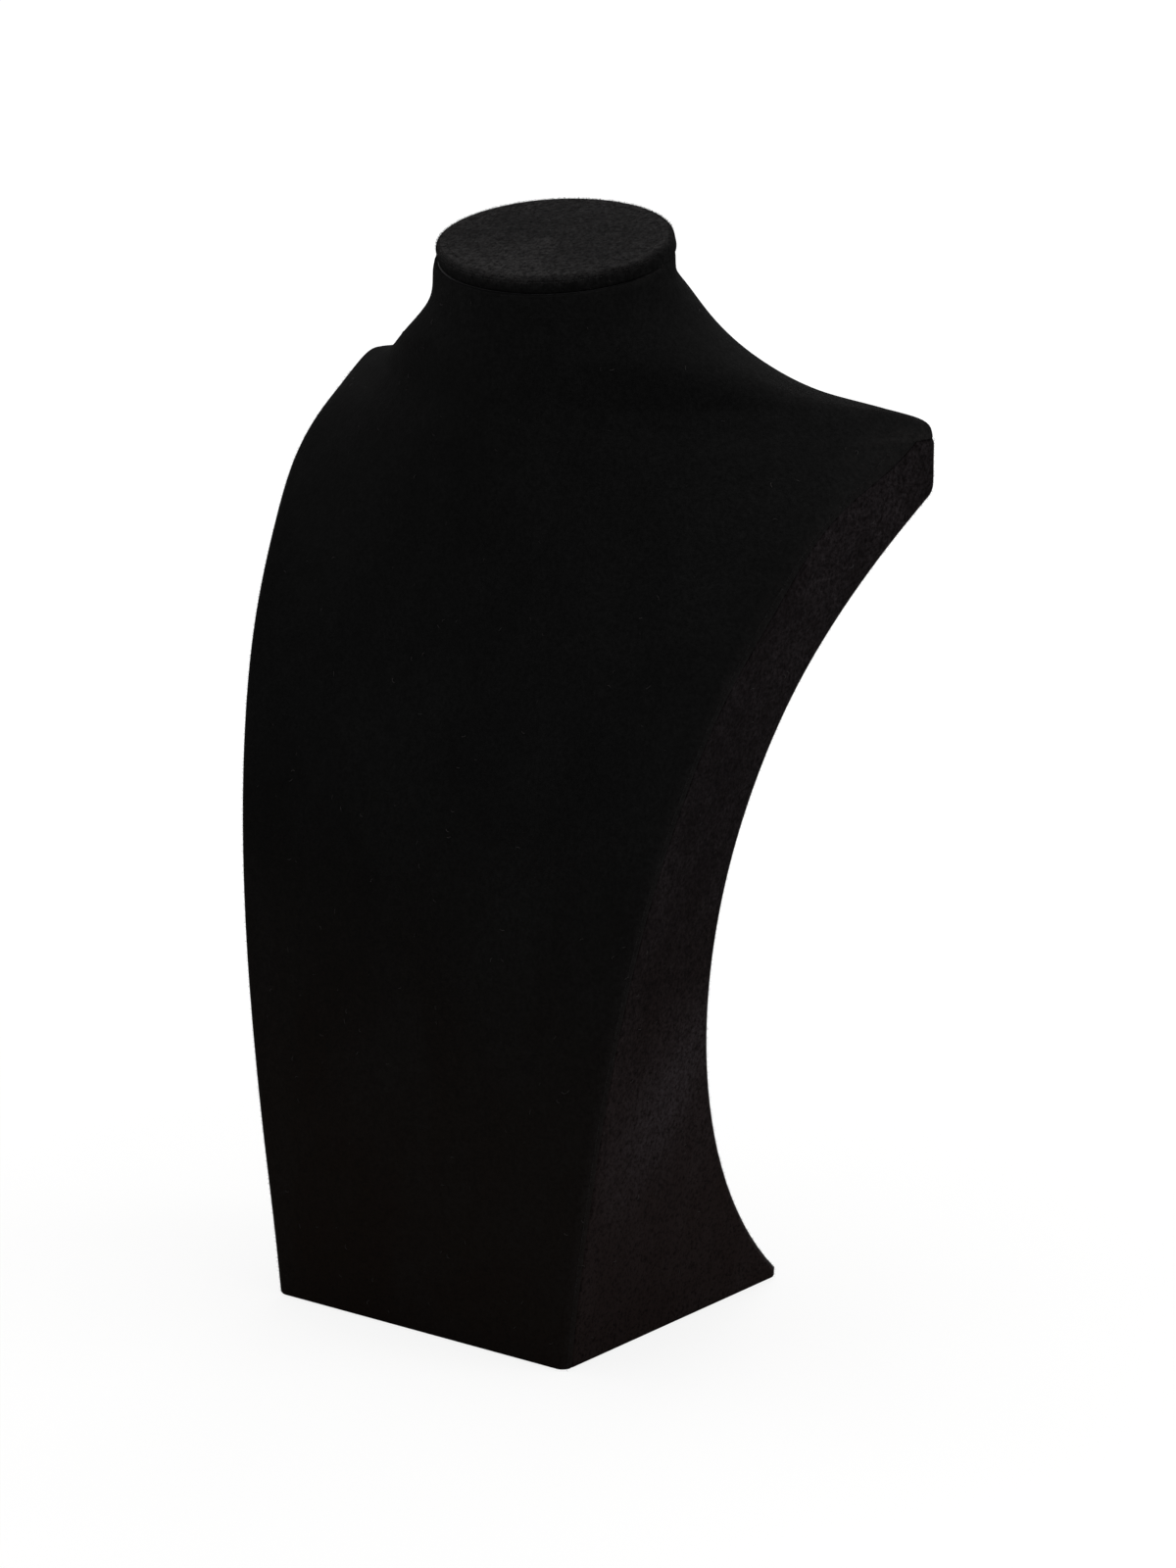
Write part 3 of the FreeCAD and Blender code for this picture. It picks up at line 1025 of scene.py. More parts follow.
                # the joint under the disc is paler most at the side, least in the middles: partly
                # worn pile, partly a painted highlight
                edge = self.neck_wear_and_highlight * max(1 - below / self.joint_paling_depth, 0.0)
                edge *= max(1 - abs(turn - 2.3), 0.1)
                # the shoulder tips are brushed open where the cloth turns down over them
                tip = self.tip_wear * (1 - part) ** 9
                fold = self.fold_wear * (1 - part) ** 2
                wear_and_painted_light[row, column] = max(folded * max(fold, tip), edge)
        grid = np.concatenate([grid, self.tucked_lip(grid[-1])])
        wear_and_painted_light = np.concatenate([wear_and_painted_light, np.tile(wear_and_painted_light[-1], (len(grid) - len(wear_and_painted_light), 1))])
        return Patch(grid, cloth_places(grid, 0, start + along_column(grid, 0)), wear_and_painted_light)

    def tucked_lip(self, edge: np.ndarray) -> np.ndarray:
        """Return rows that fold the cloth over the top of the neck, in under the disc.

        Args:
            edge: Row of points just under the disc, shape (columns, 3).

        Returns:
            Array of shape (rows, columns, 3).
        """
        form = self.form
        up = np.array([0.0, -math.sin(form.tilt), math.cos(form.tilt)])
        along = np.array([0.0, math.cos(form.tilt), math.sin(form.tilt)])
        centre = np.array([0.0, form.disc_setback, form.disc_height])
        rows = []
        for inset, height in self.lip:
            row = []
            for point in edge:
                way = np.array([point[0], 0.0, 0.0]) + along * ((point - centre) @ along)
                rise = height + self.under_disc(point)
                row.append(point - way / np.linalg.norm(way) * inset + up * rise)
            rows.append(row)
        return np.array(rows)

    def dress(self, velvet: bpy.types.Material) -> bpy.types.Object:
        """Build the cover and put it in the place of its solid.

        Args:
            velvet: Finish of the cloth.

        Returns:
            The finished piece.
        """
        form = self.form
        base = form.place_at(self.hem)
        tip, top = self.tip_place(), self.top_place()
        turns = self.front_turns()
        front = self.front_patch(turns, self.rows(base, tip))
        length = float(front.cloth[-1, front.points.shape[1] // 2, 1])
        round_all = np.concatenate([turns, self.rear_turns()])
        right = self.ring_patch(round_all, self.rows(tip, top), length)
        left = right.mirrored()
        # painted shade: the whole left half, joint, folds and shoulder tip, is made less pale than
        # the right, which the side lamp lights
        left.wear_and_painted_light *= self.left_painted_shade
        self.patches = [front, right, left]
        piece = ClothSheet("front_and_neck_cover", self.patches).build(velvet)
        finish_cloth(piece, ["front_velvet"])
        return piece


@dataclass
class RearEdge:
    """The line along the hollow back from the side, from the foot to the upper back."""

    form: BustForm
    corner_reach: float = 3.2
    step: float = 2.2

    def path(self, low: float) -> tuple[np.ndarray, np.ndarray]:
        """Return places and outward directions along the line, in (y, z).

        The foot's short upright face, the hollow's arc and the upper back follow
        each other, and the cloth rounds the two corners between them.

        Args:
            low: Height at which the line starts.

        Returns:
            Two arrays of shape (n, 2).
        """
        form = self.form
        foot = np.array([form.back_y - form.foot_setback, form.foot_height])
        deep = np.array([form.back_y - form.hollow_depth, form.hollow_mid_height])
        head = np.array([form.back_y, form.shoulder_height - form.upper_back_height])
        centre, radius = circle_through(foot, deep, head)
        cut = self.corner_reach / radius
        start = math.atan2(*(foot - centre)[::-1]) % (2 * math.pi) - cut
        end = math.atan2(*(head - centre)[::-1]) % (2 * math.pi) + cut
        angles = np.linspace(start, end, int(radius * abs(end - start) / self.step))
        arc = centre + radius * np.stack([np.cos(angles), np.sin(angles)], axis=1)
        upright = np.array([[foot[0], z] for z in np.linspace(low, foot[1] - self.corner_reach, 3)])
        rise = np.linspace(head[1] + self.corner_reach, form.side_top, 12)
        upper = np.stack([np.full(len(rise), head[0]), rise], axis=1)
        lower_bend = quadratic_bend(upright[-1], foot, arc[0])
        upper_bend = quadratic_bend(arc[-1], head, upper[0])
        points = np.concatenate([upright, lower_bend, arc, upper_bend, upper])
        along = np.gradient(points, axis=0)
        facing = np.stack([along[:, 1], -along[:, 0]], axis=1)
        return points, facing / np.linalg.norm(facing, axis=1, keepdims=True)


def quadratic_bend(start: np.ndarray, knee: np.ndarray, end: np.ndarray) -> np.ndarray:
    """Return the inner points of a rounded corner that turns at the knee."""
    t = np.linspace(0, 1, 8)[1:-1, None]
    return (1 - t) ** 2 * start + 2 * (1 - t) * t * knee + t ** 2 * end


def circle_through(a: np.ndarray, b: np.ndarray, c: np.ndarray) -> tuple[np.ndarray, float]:
    """Return the centre and radius of the circle through three points."""
    matrix = 2 * np.array([b - a, c - a])
    right = np.array([b @ b - a @ a, c @ c - a @ a])
    centre = np.linalg.solve(matrix, right)
    return centre, float(np.linalg.norm(centre - a))


def finish_cloth(piece: bpy.types.Object, nodes: list[str]) -> None:
    """Put a cloth cover in the place of its solids, hide those and log its faces.

    Args:
        piece: The cover.
        nodes: Solids that it stands for.
    """
    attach(piece, "root")
    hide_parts(*nodes)
    LOG.info("%s: %d faces", piece.name, len(piece.data.polygons))


@dataclass
class SideAndBackCovers:
    """The two side panels and the panel of the hollow back.

    The side panels round the rear edge by edge_radius, and by foot_extra more at
    the table, which fades out at foot_reach. All are in millimetres. The tuples
    give where the columns and rows lie, close together beside the seams.
    """

    form: BustForm
    edge_radius: float = 2.6
    foot_extra: float = 0.8
    foot_reach: float = 30.0
    turn_in: float = 3.0
    hem: float = 0.35
    seam_rise_share: float = 0.6
    rear_wear: float = 0.45
    crease_shares: tuple[float, ...] = (0, 0.008, 0.02, 0.045)
    turned_in: tuple[float, ...] = (0.8, 1.6, 2.3, 2.7, 2.9, 3.0)
    beside_edge: tuple[float, ...] = (0, 0.0012, 0.003, 0.006, 0.012)
    upper_rises: tuple[float, ...] = (0.25, 0.5, 0.75, 0.88, 0.95, 0.98, 1.0)
    upper_low: float = 300.0
    patches: list[Patch] = field(init=False, default_factory=list)

    def side_x(self, y: float, z: float) -> float:
        """Return how far out the flat side lies at a place (y, z)."""
        poles = self.form.poles_at(self.place(z))
        start, end = poles[6], poles[9]
        return start[0] + (y - start[1]) * (end[0] - start[0]) / (end[1] - start[1])

    @cached_property
    def height_table(self) -> tuple[np.ndarray, np.ndarray]:
        """Return the heights of the rear knee and the places along the sections."""
        places = np.linspace(self.form.knots[0], self.form.knots[-1], 1600)
        return np.array([self.form.poles_at(p)[9, 2] for p in places]), places

    def place(self, z: float) -> float:
        """Return the place along the sections at height z."""
        return float(np.interp(z, *self.height_table))

    def rear_radius(self, z: float) -> float:
        """Return how far the cloth rounds the rear edge at height z."""
        return self.edge_radius + self.foot_extra * max(1 - z / self.foot_reach, 0.0)

    def side_patch(self) -> Patch:
        """Return the right side panel, from the crease seam round the rear edge."""
        base, top = self.hem, self.form.side_top
        line, facing = RearEdge(self.form).path(base)
        steps = np.linalg.norm(np.diff(line, axis=0), axis=1)
        lengths = np.concatenate([[0], np.cumsum(steps)])
        heights = base + (line[:, 1] - base) * self.seam_rise_share
        heights += (top - base) * (1 - self.seam_rise_share) * lengths / lengths[-1]
        shares = np.concatenate([self.crease_shares, np.linspace(0.08, 1, 26)])
        turn = np.radians(np.linspace(0, 90, 8))[1:]
        rows = []
        for (y, z), (ny, nz), front_z in zip(line, facing, heights):
            seam = self.form.poles_at(self.place(front_z))[6]
            radius = self.rear_radius(z)
            end_y, end_z = y - radius * ny, z - radius * nz
            row = []
            for share in shares:
                spot_y = seam[1] + (end_y - seam[1]) * share
                spot_z = front_z + (end_z - front_z) * share
                row.append([self.side_x(spot_y, spot_z), spot_y, spot_z])
            x = row[-1][0] - radius
            for angle in turn:
                out = radius * math.sin(angle)
                row.append([x + radius * math.cos(angle), end_y + out * ny, end_z + out * nz])
            row += [[x - inward, y, z] for inward in self.turned_in]
            rows.append(row)
        points = np.array(rows)
        # the pile is worn open where the cloth turns round the rear edge
        round_over = np.concatenate([
            np.zeros(len(shares)), np.sin(2 * turn) * self.rear_wear,
            np.zeros(len(self.turned_in))])
        wear_and_painted_light = np.tile(round_over, (len(points), 1))
        return Patch(points, cloth_places(points, 0, along_column(points, 12)), wear_and_painted_light)

    def back_patch(self) -> Patch:
        """Return the right half of the hollow back's panel, up to the arched seam."""
        line, _ = RearEdge(self.form).path(self.hem)
        shares = np.concatenate([1 - np.array(self.beside_edge), np.linspace(0.98, 0, 40)])
        rows = []
        for y, z in line:
            radius = self.rear_radius(z)
            edge = self.side_x(y, z) - radius - self.turn_in
            rows.append([[edge * share, y, z] for share in shares])
        tip_y, tip_z = line[-1]
        edge = rows[-1][0][0]
        for rise in self.upper_rises:
            row = []
            for share in shares:
                x = edge * share
                z = tip_z + (self.form.arch_height(x) - tip_z) * rise
                row.append([x, self.upper_y(x, z), z])
            rows.append(row)
        points = np.array(rows)
        middle = len(shares) - 1
        cloth = cloth_places(points, middle, along_column(points, middle))
        return Patch(points, cloth, np.zeros(points.shape[:2]))

    @cached_property
    def upper_grid(self) -> np.ndarray:
        """Return a grid of points of the upper back, above the hollow."""
        turns = np.linspace(4, 5, 40)
        places = np.linspace(self.place(self.upper_low), self.form.knots[-6], 160)
        return np.array([self.form.outline(p, turns) for p in places])

    def upper_y(self, x: float, z: float) -> float:
        """Return how far back the upper back lies at a place (x, z)."""
        rows = np.arange(len(self.upper_grid))
        xs, ys = [], []
        for column in self.upper_grid.transpose(1, 2, 0):
            row = np.interp(z, column[2], rows)
            xs.append(np.interp(row, rows, column[0]))
            ys.append(np.interp(row, rows, column[1]))
        return float(np.interp(x, xs[::-1], ys[::-1]))

    def dress(self, velvet: bpy.types.Material) -> list[bpy.types.Object]:
        """Build the three panels and put them in the place of their solids.

        Args:
            velvet: Finish of the cloth.

        Returns:
            The finished pieces.
        """
        right = self.side_patch()
        back = self.back_patch()
        self.patches = [right, right.mirrored(), back, back.mirrored()]
        pieces = []
        for side, patch in zip(("right", "left"), self.patches):
            piece = ClothSheet(f"{side}_side_cover", [patch]).build(velvet)
            finish_cloth(piece, [f"{side}_side_velvet"])
            pieces.append(piece)
        piece = ClothSheet("hollow_back_cover", self.patches[2:]).build(velvet)
        finish_cloth(piece, ["back_velvet"])
        pieces.append(piece)
        return pieces


@dataclass
class FeltPad:
    """The felt under the foot: a flat sheet whose cut edges have rounded with use.

    Attributes:
        cut: Width and length of the felt it is cut from, in metres; not used.
        rounding: How far its edges round over, in millimetres.
        sharp_angle: Least turn between two faces that counts as an edge, in radians.
        flat_angle: Most turn between two faces that counts as flat, in radians.
    """

    cut: tuple[float, float] = (0.1301, 0.1237)
    rounding: float = 0.45
    sharp_angle: float = 1.0
    flat_angle: float = 0.02

    def dress(self, felt: bpy.types.Material) -> bpy.types.Object:
        """Build the pad from the outline of its solid and put it in the solid's place.

        Args:
            felt: Finish of the pad.

        Returns:
            The finished piece.
        """
        solid = bpy.data.objects["base_felt"]
        work = bmesh.new()
        work.from_mesh(solid.data)
        work.transform(solid.matrix_world)
        bmesh.ops.remove_doubles(work, verts=work.verts, dist=0.001 * MM)
        bmesh.ops.dissolve_limit(
            work, angle_limit=self.flat_angle, verts=work.verts, edges=work.edges)
        rim = [edge for edge in work.edges
               if edge.is_manifold and edge.calc_face_angle() > self.sharp_angle]
        bmesh.ops.bevel(work, geom=rim, offset=self.rounding * MM, segments=4, profile=0.5,
                        affect="EDGES")
        mesh = bpy.data.meshes.new("felt_pad")
        work.to_mesh(mesh)
        work.free()
        mesh.materials.append(felt)
        piece = put_in_scene("felt_pad", mesh)
        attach(piece, "root")
        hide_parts("base_felt")
        LOG.info("%s: %d faces", piece.name, len(mesh.polygons))
        return piece


def new_tree(name: str, sockets: dict[str, str]) -> tuple[bpy.types.NodeTree, bpy.types.Node]:
    """Return a geometry node tree with its named inputs and its input node.

    Args:
        name: Name of the tree.
        sockets: Name of each input to the type of its socket.

    Returns:
        The tree and its group input.
    """
    tree = bpy.data.node_groups.new(name, "GeometryNodeTree")
    tree.interface.new_socket(name="Geometry", in_out="OUTPUT", socket_type="NodeSocketGeometry")
    tree.interface.new_socket(name="Geometry", in_out="INPUT", socket_type="NodeSocketGeometry")
    for label, kind in sockets.items():
        tree.interface.new_socket(name=label, in_out="INPUT", socket_type=kind)
    return tree, add_node(tree, "NodeGroupInput")


def grow_on(tree: bpy.types.NodeTree, finish: bpy.types.NodeSocket,
            placing: dict[str, bpy.types.NodeSocket], turn: bpy.types.NodeSocket,
            sizes: tuple[float, float], seed: int) -> None:
    """End a tree: a fibre on each point, sized and turned at random, as plain mesh.

    Args:
        tree: The geometry node tree.
        finish: The fibres' material.
        placing: The points, the fibre and how it faces, as the instancing node names them.
        turn: How far each fibre turns away from that.
        sizes: Least and most size, as a share of the fibre's own.
        seed: Seed of the sizes.
    """
    size = add_node(tree, "FunctionNodeRandomValue", {
        "Min": sizes[0], "Max": sizes[1], "Seed": seed}, data_type="FLOAT")
    placed = add_node(tree, "GeometryNodeInstanceOnPoints", placing)
    scaled = add_node(tree, "GeometryNodeScaleInstances", {
        "Instances": placed.outputs[0], "Scale": size.outputs[1]})
    turned = add_node(tree, "GeometryNodeRotateInstances", {
        "Instances": scaled.outputs[0], "Rotation": turn, "Local Space": True})
    real = add_node(tree, "GeometryNodeRealizeInstances", {"Geometry": turned.outputs[0]})
    dressed = add_node(tree, "GeometryNodeSetMaterial", {
        "Geometry": real.outputs[0], "Material": finish})
    add_node(tree, "NodeGroupOutput", {0: dressed.outputs[0]})


def grown_piece(base: bpy.types.Object, tree: bpy.types.NodeTree, values: dict[str, object],
                name: str) -> bpy.types.Object:
    """Return what a geometry node tree makes of a base object, as a plain velvet piece.

    Args:
        base: Object that the tree works on; it is deleted.
        tree: The geometry node tree.
        values: Name of each input to its value.
        name: Name of the new piece.

    Returns:
        The new piece.
    """
    modifier = base.modifiers.new("grow", "NODES")
    modifier.node_group = tree
    for item in tree.interface.items_tree:
        if item.item_type == "SOCKET" and item.in_out == "INPUT" and item.name in values:
            modifier[item.identifier] = values[item.name]
    view = bpy.context.evaluated_depsgraph_get()
    mesh = bpy.data.meshes.new_from_object(base.evaluated_get(view))
    base.modifiers.remove(modifier)
    bpy.data.objects.remove(base)
    mesh.name = name
    piece = put_in_scene(name, mesh)
    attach(piece, "root")
    LOG.info("%s: %d faces", piece.name, len(piece.data.polygons))
    return piece


@dataclass
class LooseLint:
    """Short fibres that the velvet has caught, scattered over every cover, in millimetres."""

    length: float = 1.3
    radius: float = 0.07
    per_square_metre: float = 2100.0
    sizes: tuple[float, float] = (0.5, 1.5)
    seed: int = 7
    size_seed: int = 3
    turn_seed: int = 5

    def tree(self) -> bpy.types.NodeTree:
        """Return the tree that scatters bent fibres over a surface."""
        tree, given = new_tree("scattered_lint", {
            "Length": "NodeSocketFloat", "Radius": "NodeSocketFloat", "Density": "NodeSocketFloat",
            "Seed": "NodeSocketInt", "Finish": "NodeSocketMaterial"})
        spots = add_node(tree, "GeometryNodeDistributePointsOnFaces", {
            "Mesh": given.outputs["Geometry"], "Density": given.outputs["Density"],
            "Seed": given.outputs["Seed"]})
        length = given.outputs["Length"]
        # each fibre bows aside and up by about a sixth of its length
        half = add_node(tree, "ShaderNodeMath", {0: length, 1: 0.5}, operation="MULTIPLY")
        rise = add_node(tree, "ShaderNodeMath", {0: length, 1: 0.35}, operation="MULTIPLY")
        middle = add_node(tree, "ShaderNodeCombineXYZ", {
            0: half.outputs[0], 1: rise.outputs[0], 2: rise.outputs[0]})
        end = add_node(tree, "ShaderNodeCombineXYZ", {0: length})
        bow = add_node(tree, "GeometryNodeCurveQuadraticBezier", {
            "Resolution": 4, "Start": (0.0, 0.0, 0.0), "Middle": middle.outputs[0],
            "End": end.outputs[0]})
        ring = add_node(tree, "GeometryNodeCurvePrimitiveCircle", {
            "Resolution": 3, "Radius": given.outputs["Radius"]})
        fibre = add_node(tree, "GeometryNodeCurveToMesh", {
            "Curve": bow.outputs[0], "Profile Curve": ring.outputs[0], "Fill Caps": True})
        spin = add_node(tree, "FunctionNodeRandomValue", {
            0: (0.0, 0.0, 0.0), 1: (0.15, 0.15, 6.283), "Seed": self.turn_seed},
                        data_type="FLOAT_VECTOR")
        placing = {"Points": spots.outputs["Points"], "Instance": fibre.outputs[0],
                   "Rotation": spots.outputs["Rotation"]}
        grow_on(tree, given.outputs["Finish"], placing, spin.outputs[0], self.sizes,
                self.size_seed)
        return tree

    def dress(self, patches: list[Patch], fibre: bpy.types.Material) -> bpy.types.Object:
        """Scatter the lint over the outsides of all the covers.

        Args:
            patches: The covers' surfaces.
            fibre: Finish of the lint.

        Returns:
            The finished piece.
        """
        sheet = ClothSheet("lint_ground", patches)
        faces = [list(dict.fromkeys(quad)) for quad in sheet.quads.tolist()]
        ground = mesh_object("lint_ground", sheet.points, faces, fibre)
        values = {"Length": self.length * MM, "Radius": self.radius * MM,
                  "Density": self.per_square_metre, "Seed": self.seed, "Finish": fibre}
        return grown_piece(ground, self.tree(), values, "loose_lint")


@dataclass
class PileFringe:
    """Single pile fibres that stand up along the folds, in millimetres; spread has no unit."""

    length: float = 0.9
    radius: float = 0.06
    spacing: float = 0.3
    spread: float = 0.6
    sizes: tuple[float, float] = (0.5, 1.3)
    seed: int = 11
    size_seed: int = 2

    def tree(self) -> bpy.types.NodeTree:
        """Return the tree that stands tapered fibres along a line."""
        tree, given = new_tree("pile_along_a_fold", {
            "Length": "NodeSocketFloat", "Radius": "NodeSocketFloat",
            "Spacing": "NodeSocketFloat", "Spread": "NodeSocketFloat",
            "Seed": "NodeSocketInt", "Finish": "NodeSocketMaterial"})
        line = add_node(tree, "GeometryNodeMeshToCurve", {"Mesh": given.outputs["Geometry"]})
        spots = add_node(tree, "GeometryNodeResampleCurve", {
            "Curve": line.outputs[0], "Length": given.outputs["Spacing"]}, mode="LENGTH")
        blade = add_node(tree, "GeometryNodeMeshCone", {
            "Vertices": 3, "Radius Top": 0.0, "Radius Bottom": given.outputs["Radius"],
            "Depth": given.outputs["Length"]}, fill_type="NONE")
        out = add_node(tree, "GeometryNodeInputNamedAttribute", {"Name": "out"},
                       data_type="FLOAT_VECTOR")
        upright = add_node(tree, "FunctionNodeAlignRotationToVector", {
            "Vector": out.outputs[0]}, axis="Z")
        spread = given.outputs["Spread"]
        low = add_node(tree, "ShaderNodeMath", {0: spread, 1: -1.0}, operation="MULTIPLY")
        tilt = add_node(tree, "FunctionNodeRandomValue", {
            0: low.outputs[0], 1: spread, "Seed": given.outputs["Seed"]},
                        data_type="FLOAT_VECTOR")
        placing = {"Points": spots.outputs[0], "Instance": blade.outputs["Mesh"],
                   "Rotation": upright.outputs[0]}
        grow_on(tree, given.outputs["Finish"], placing, tilt.outputs[0], self.sizes,
                self.size_seed)
        return tree

    def dress(self, lines: list[tuple[np.ndarray, np.ndarray]],
              fibre: bpy.types.Material) -> bpy.types.Object:
        """Stand the fibres along the folds.

        Args:
            lines: For each fold its points and the outward direction at each.
            fibre: Finish of the pile.

        Returns:
            The finished piece.
        """
        points = np.concatenate([line for line, _ in lines])
        outward = np.concatenate([out for _, out in lines])
        edges, start = [], 0
        for line, _ in lines:
            edges += [(start + i, start + i + 1) for i in range(len(line) - 1)]
            start += len(line)
        mesh = bpy.data.meshes.new("fold_lines")
        mesh.from_pydata((points * MM).tolist(), edges, [])
        way = mesh.attributes.new("out", "FLOAT_VECTOR", "POINT")
        way.data.foreach_set("vector", outward.astype(np.float32).reshape(-1))
        base = put_in_scene("fold_lines", mesh)
        values = {"Length": self.length * MM, "Radius": self.radius * MM,
                  "Spacing": self.spacing * MM, "Spread": self.spread, "Seed": self.seed,
                  "Finish": fibre}
        return grown_piece(base, self.tree(), values, "fold_pile")


@dataclass
class DiscCover:
    """The velvet over the tilted oval disc on the neck, soft at its edge like a pad.

    Lengths are in millimetres. Heights are above the top of the oval, insets from
    its outline. wall gives the drop and inset of the cover's upright side, and
    tucked how far short of the lower face each of its last rings stops, and its
    inset. Past the outline the flat cloth grows by one share of the oval for each
    cloth_reach that the cover goes down from cloth_rise.
    """

    form: BustForm
    crown: float = 1.1
    shoulder: float = 0.7
    plump: float = 0.55
    edge_width: float = 1.9
    edge_fall: float = 2.0
    front_width: float = 1.7
    front_fall: float = 1.9
    fullness: float = 2.3
    front_angle: float = -1.35
    wall: tuple[tuple[float, float], ...] = ((3.7, 0.0), (4.2, 0.02), (4.6, 0.06))
    tucked: tuple[tuple[float, float], ...] = ((0.15, 0.15), (0.04, 0.3), (0.03, 1.2))
    top_painted_light: float = 0.5
    edge_wear_and_highlight: float = 0.75
    brightest_angle: float = -1.7
    least_brightening: float = 0.58
    cloth_rise: float = 3.0
    cloth_reach: float = 45.0
    around: int = 168
    patches: list[Patch] = field(init=False, default_factory=list)

    def profile(self, angle: float) -> list[tuple[float, float, float, float]]:
        """Return one radius of the cover, from the middle of its top to under the disc.

        Args:
            angle: Turn of the radius round the oval, in radians. The edge is soft in front.

        Returns:
            For each ring the share of the oval, the inset, the height and how much paler it is, as
            worn pile and as painted light.
        """
        soft = max(math.cos(angle - self.front_angle), 0.0)
        width = self.edge_width + self.front_width * soft
        drop = self.edge_fall + self.front_fall * soft
        # painted light: the top is made paler than the upright side, as light from above would; the
        # rim paler still, partly worn pile and partly a painted highlight
        rings = [(0.0, 0.0, self.crown, self.top_painted_light)]
        for share in np.linspace(0.0, 1.0, 18)[1:]:
            height = self.shoulder + (self.crown - self.shoulder) * (1 - share ** 2)
            wear = self.top_painted_light + (self.edge_wear_and_highlight - self.top_painted_light) * share ** 6
            rings.append((share, width, height, wear))
        for part in np.linspace(0.0, 1.0, 12)[1:]:
            turn = part * math.pi / 2
            inset = width * (1 - math.sin(turn) ** (2 / self.fullness))
            fall = drop * (1 - math.cos(turn) ** (2 / self.fullness))
            rings.append((1.0, inset, self.shoulder - fall, self.edge_wear_and_highlight * (1 - part) ** 1.5))
        deep = self.form.disc_board + self.form.velvet
        rings += [(1.0, inset, -down, 0.0) for down, inset in self.wall]
        rings += [(1.0, inset, short - deep, 0.0) for short, inset in self.tucked]
        return rings

    def point(self, share: float, inset: float, height: float, angle: float) -> list[float]:
        """Return a point of the cover in the bust's own frame."""
        form = self.form
        x = (form.disc_width / 2 + self.plump - inset) * share * math.cos(angle)
        y = (form.disc_length / 2 + self.plump - inset) * share * math.sin(angle)
        cos, sin = math.cos(form.tilt), math.sin(form.tilt)
        return [x, form.disc_setback + y * cos - height * sin,
                form.disc_height + y * sin + height * cos]

    def dress(self, velvet: bpy.types.Material) -> bpy.types.Object:
        """Build the cover and put it in the place of its solid.

        Args:
            velvet: Finish of the cloth.

        Returns:
            The finished piece.
        """
        angles = np.linspace(0, 2 * math.pi, self.around + 1)
        # the front edge is handled most
        # towards the front edge the top and rim are paler still, partly wear and partly painted
        # highlight
        facing = np.clip(np.cos(angles - self.brightest_angle), 0, 1)
        brightening = self.least_brightening + (1 - self.least_brightening) * facing ** 4
        radii = np.array([self.profile(a)[::-1] for a in angles]).transpose(1, 0, 2)
        points = np.array([
            [self.point(*place[:3], a) for place, a in zip(ring, angles)] for ring in radii])
        points[:, -1] = points[:, 0]
        wear_and_painted_light = radii[..., 3] * brightening
        share, inset, height = radii[..., 0], radii[..., 1], radii[..., 2]
        beyond = (self.cloth_rise - inset - height) / self.cloth_reach
        reach = share + beyond * (share >= 1.0)
        cloth = np.stack([self.form.disc_width / 2 * reach * np.cos(angles),
                          self.form.disc_length / 2 * reach * np.sin(angles)], axis=2)
        self.patches = [Patch(points, cloth, wear_and_painted_light)]
        piece = ClothSheet("disc_cover", self.patches).build(velvet)
        finish_cloth(piece, ["neck_disc_velvet"])
        return piece


# ---------------------------------------------------------------- studio


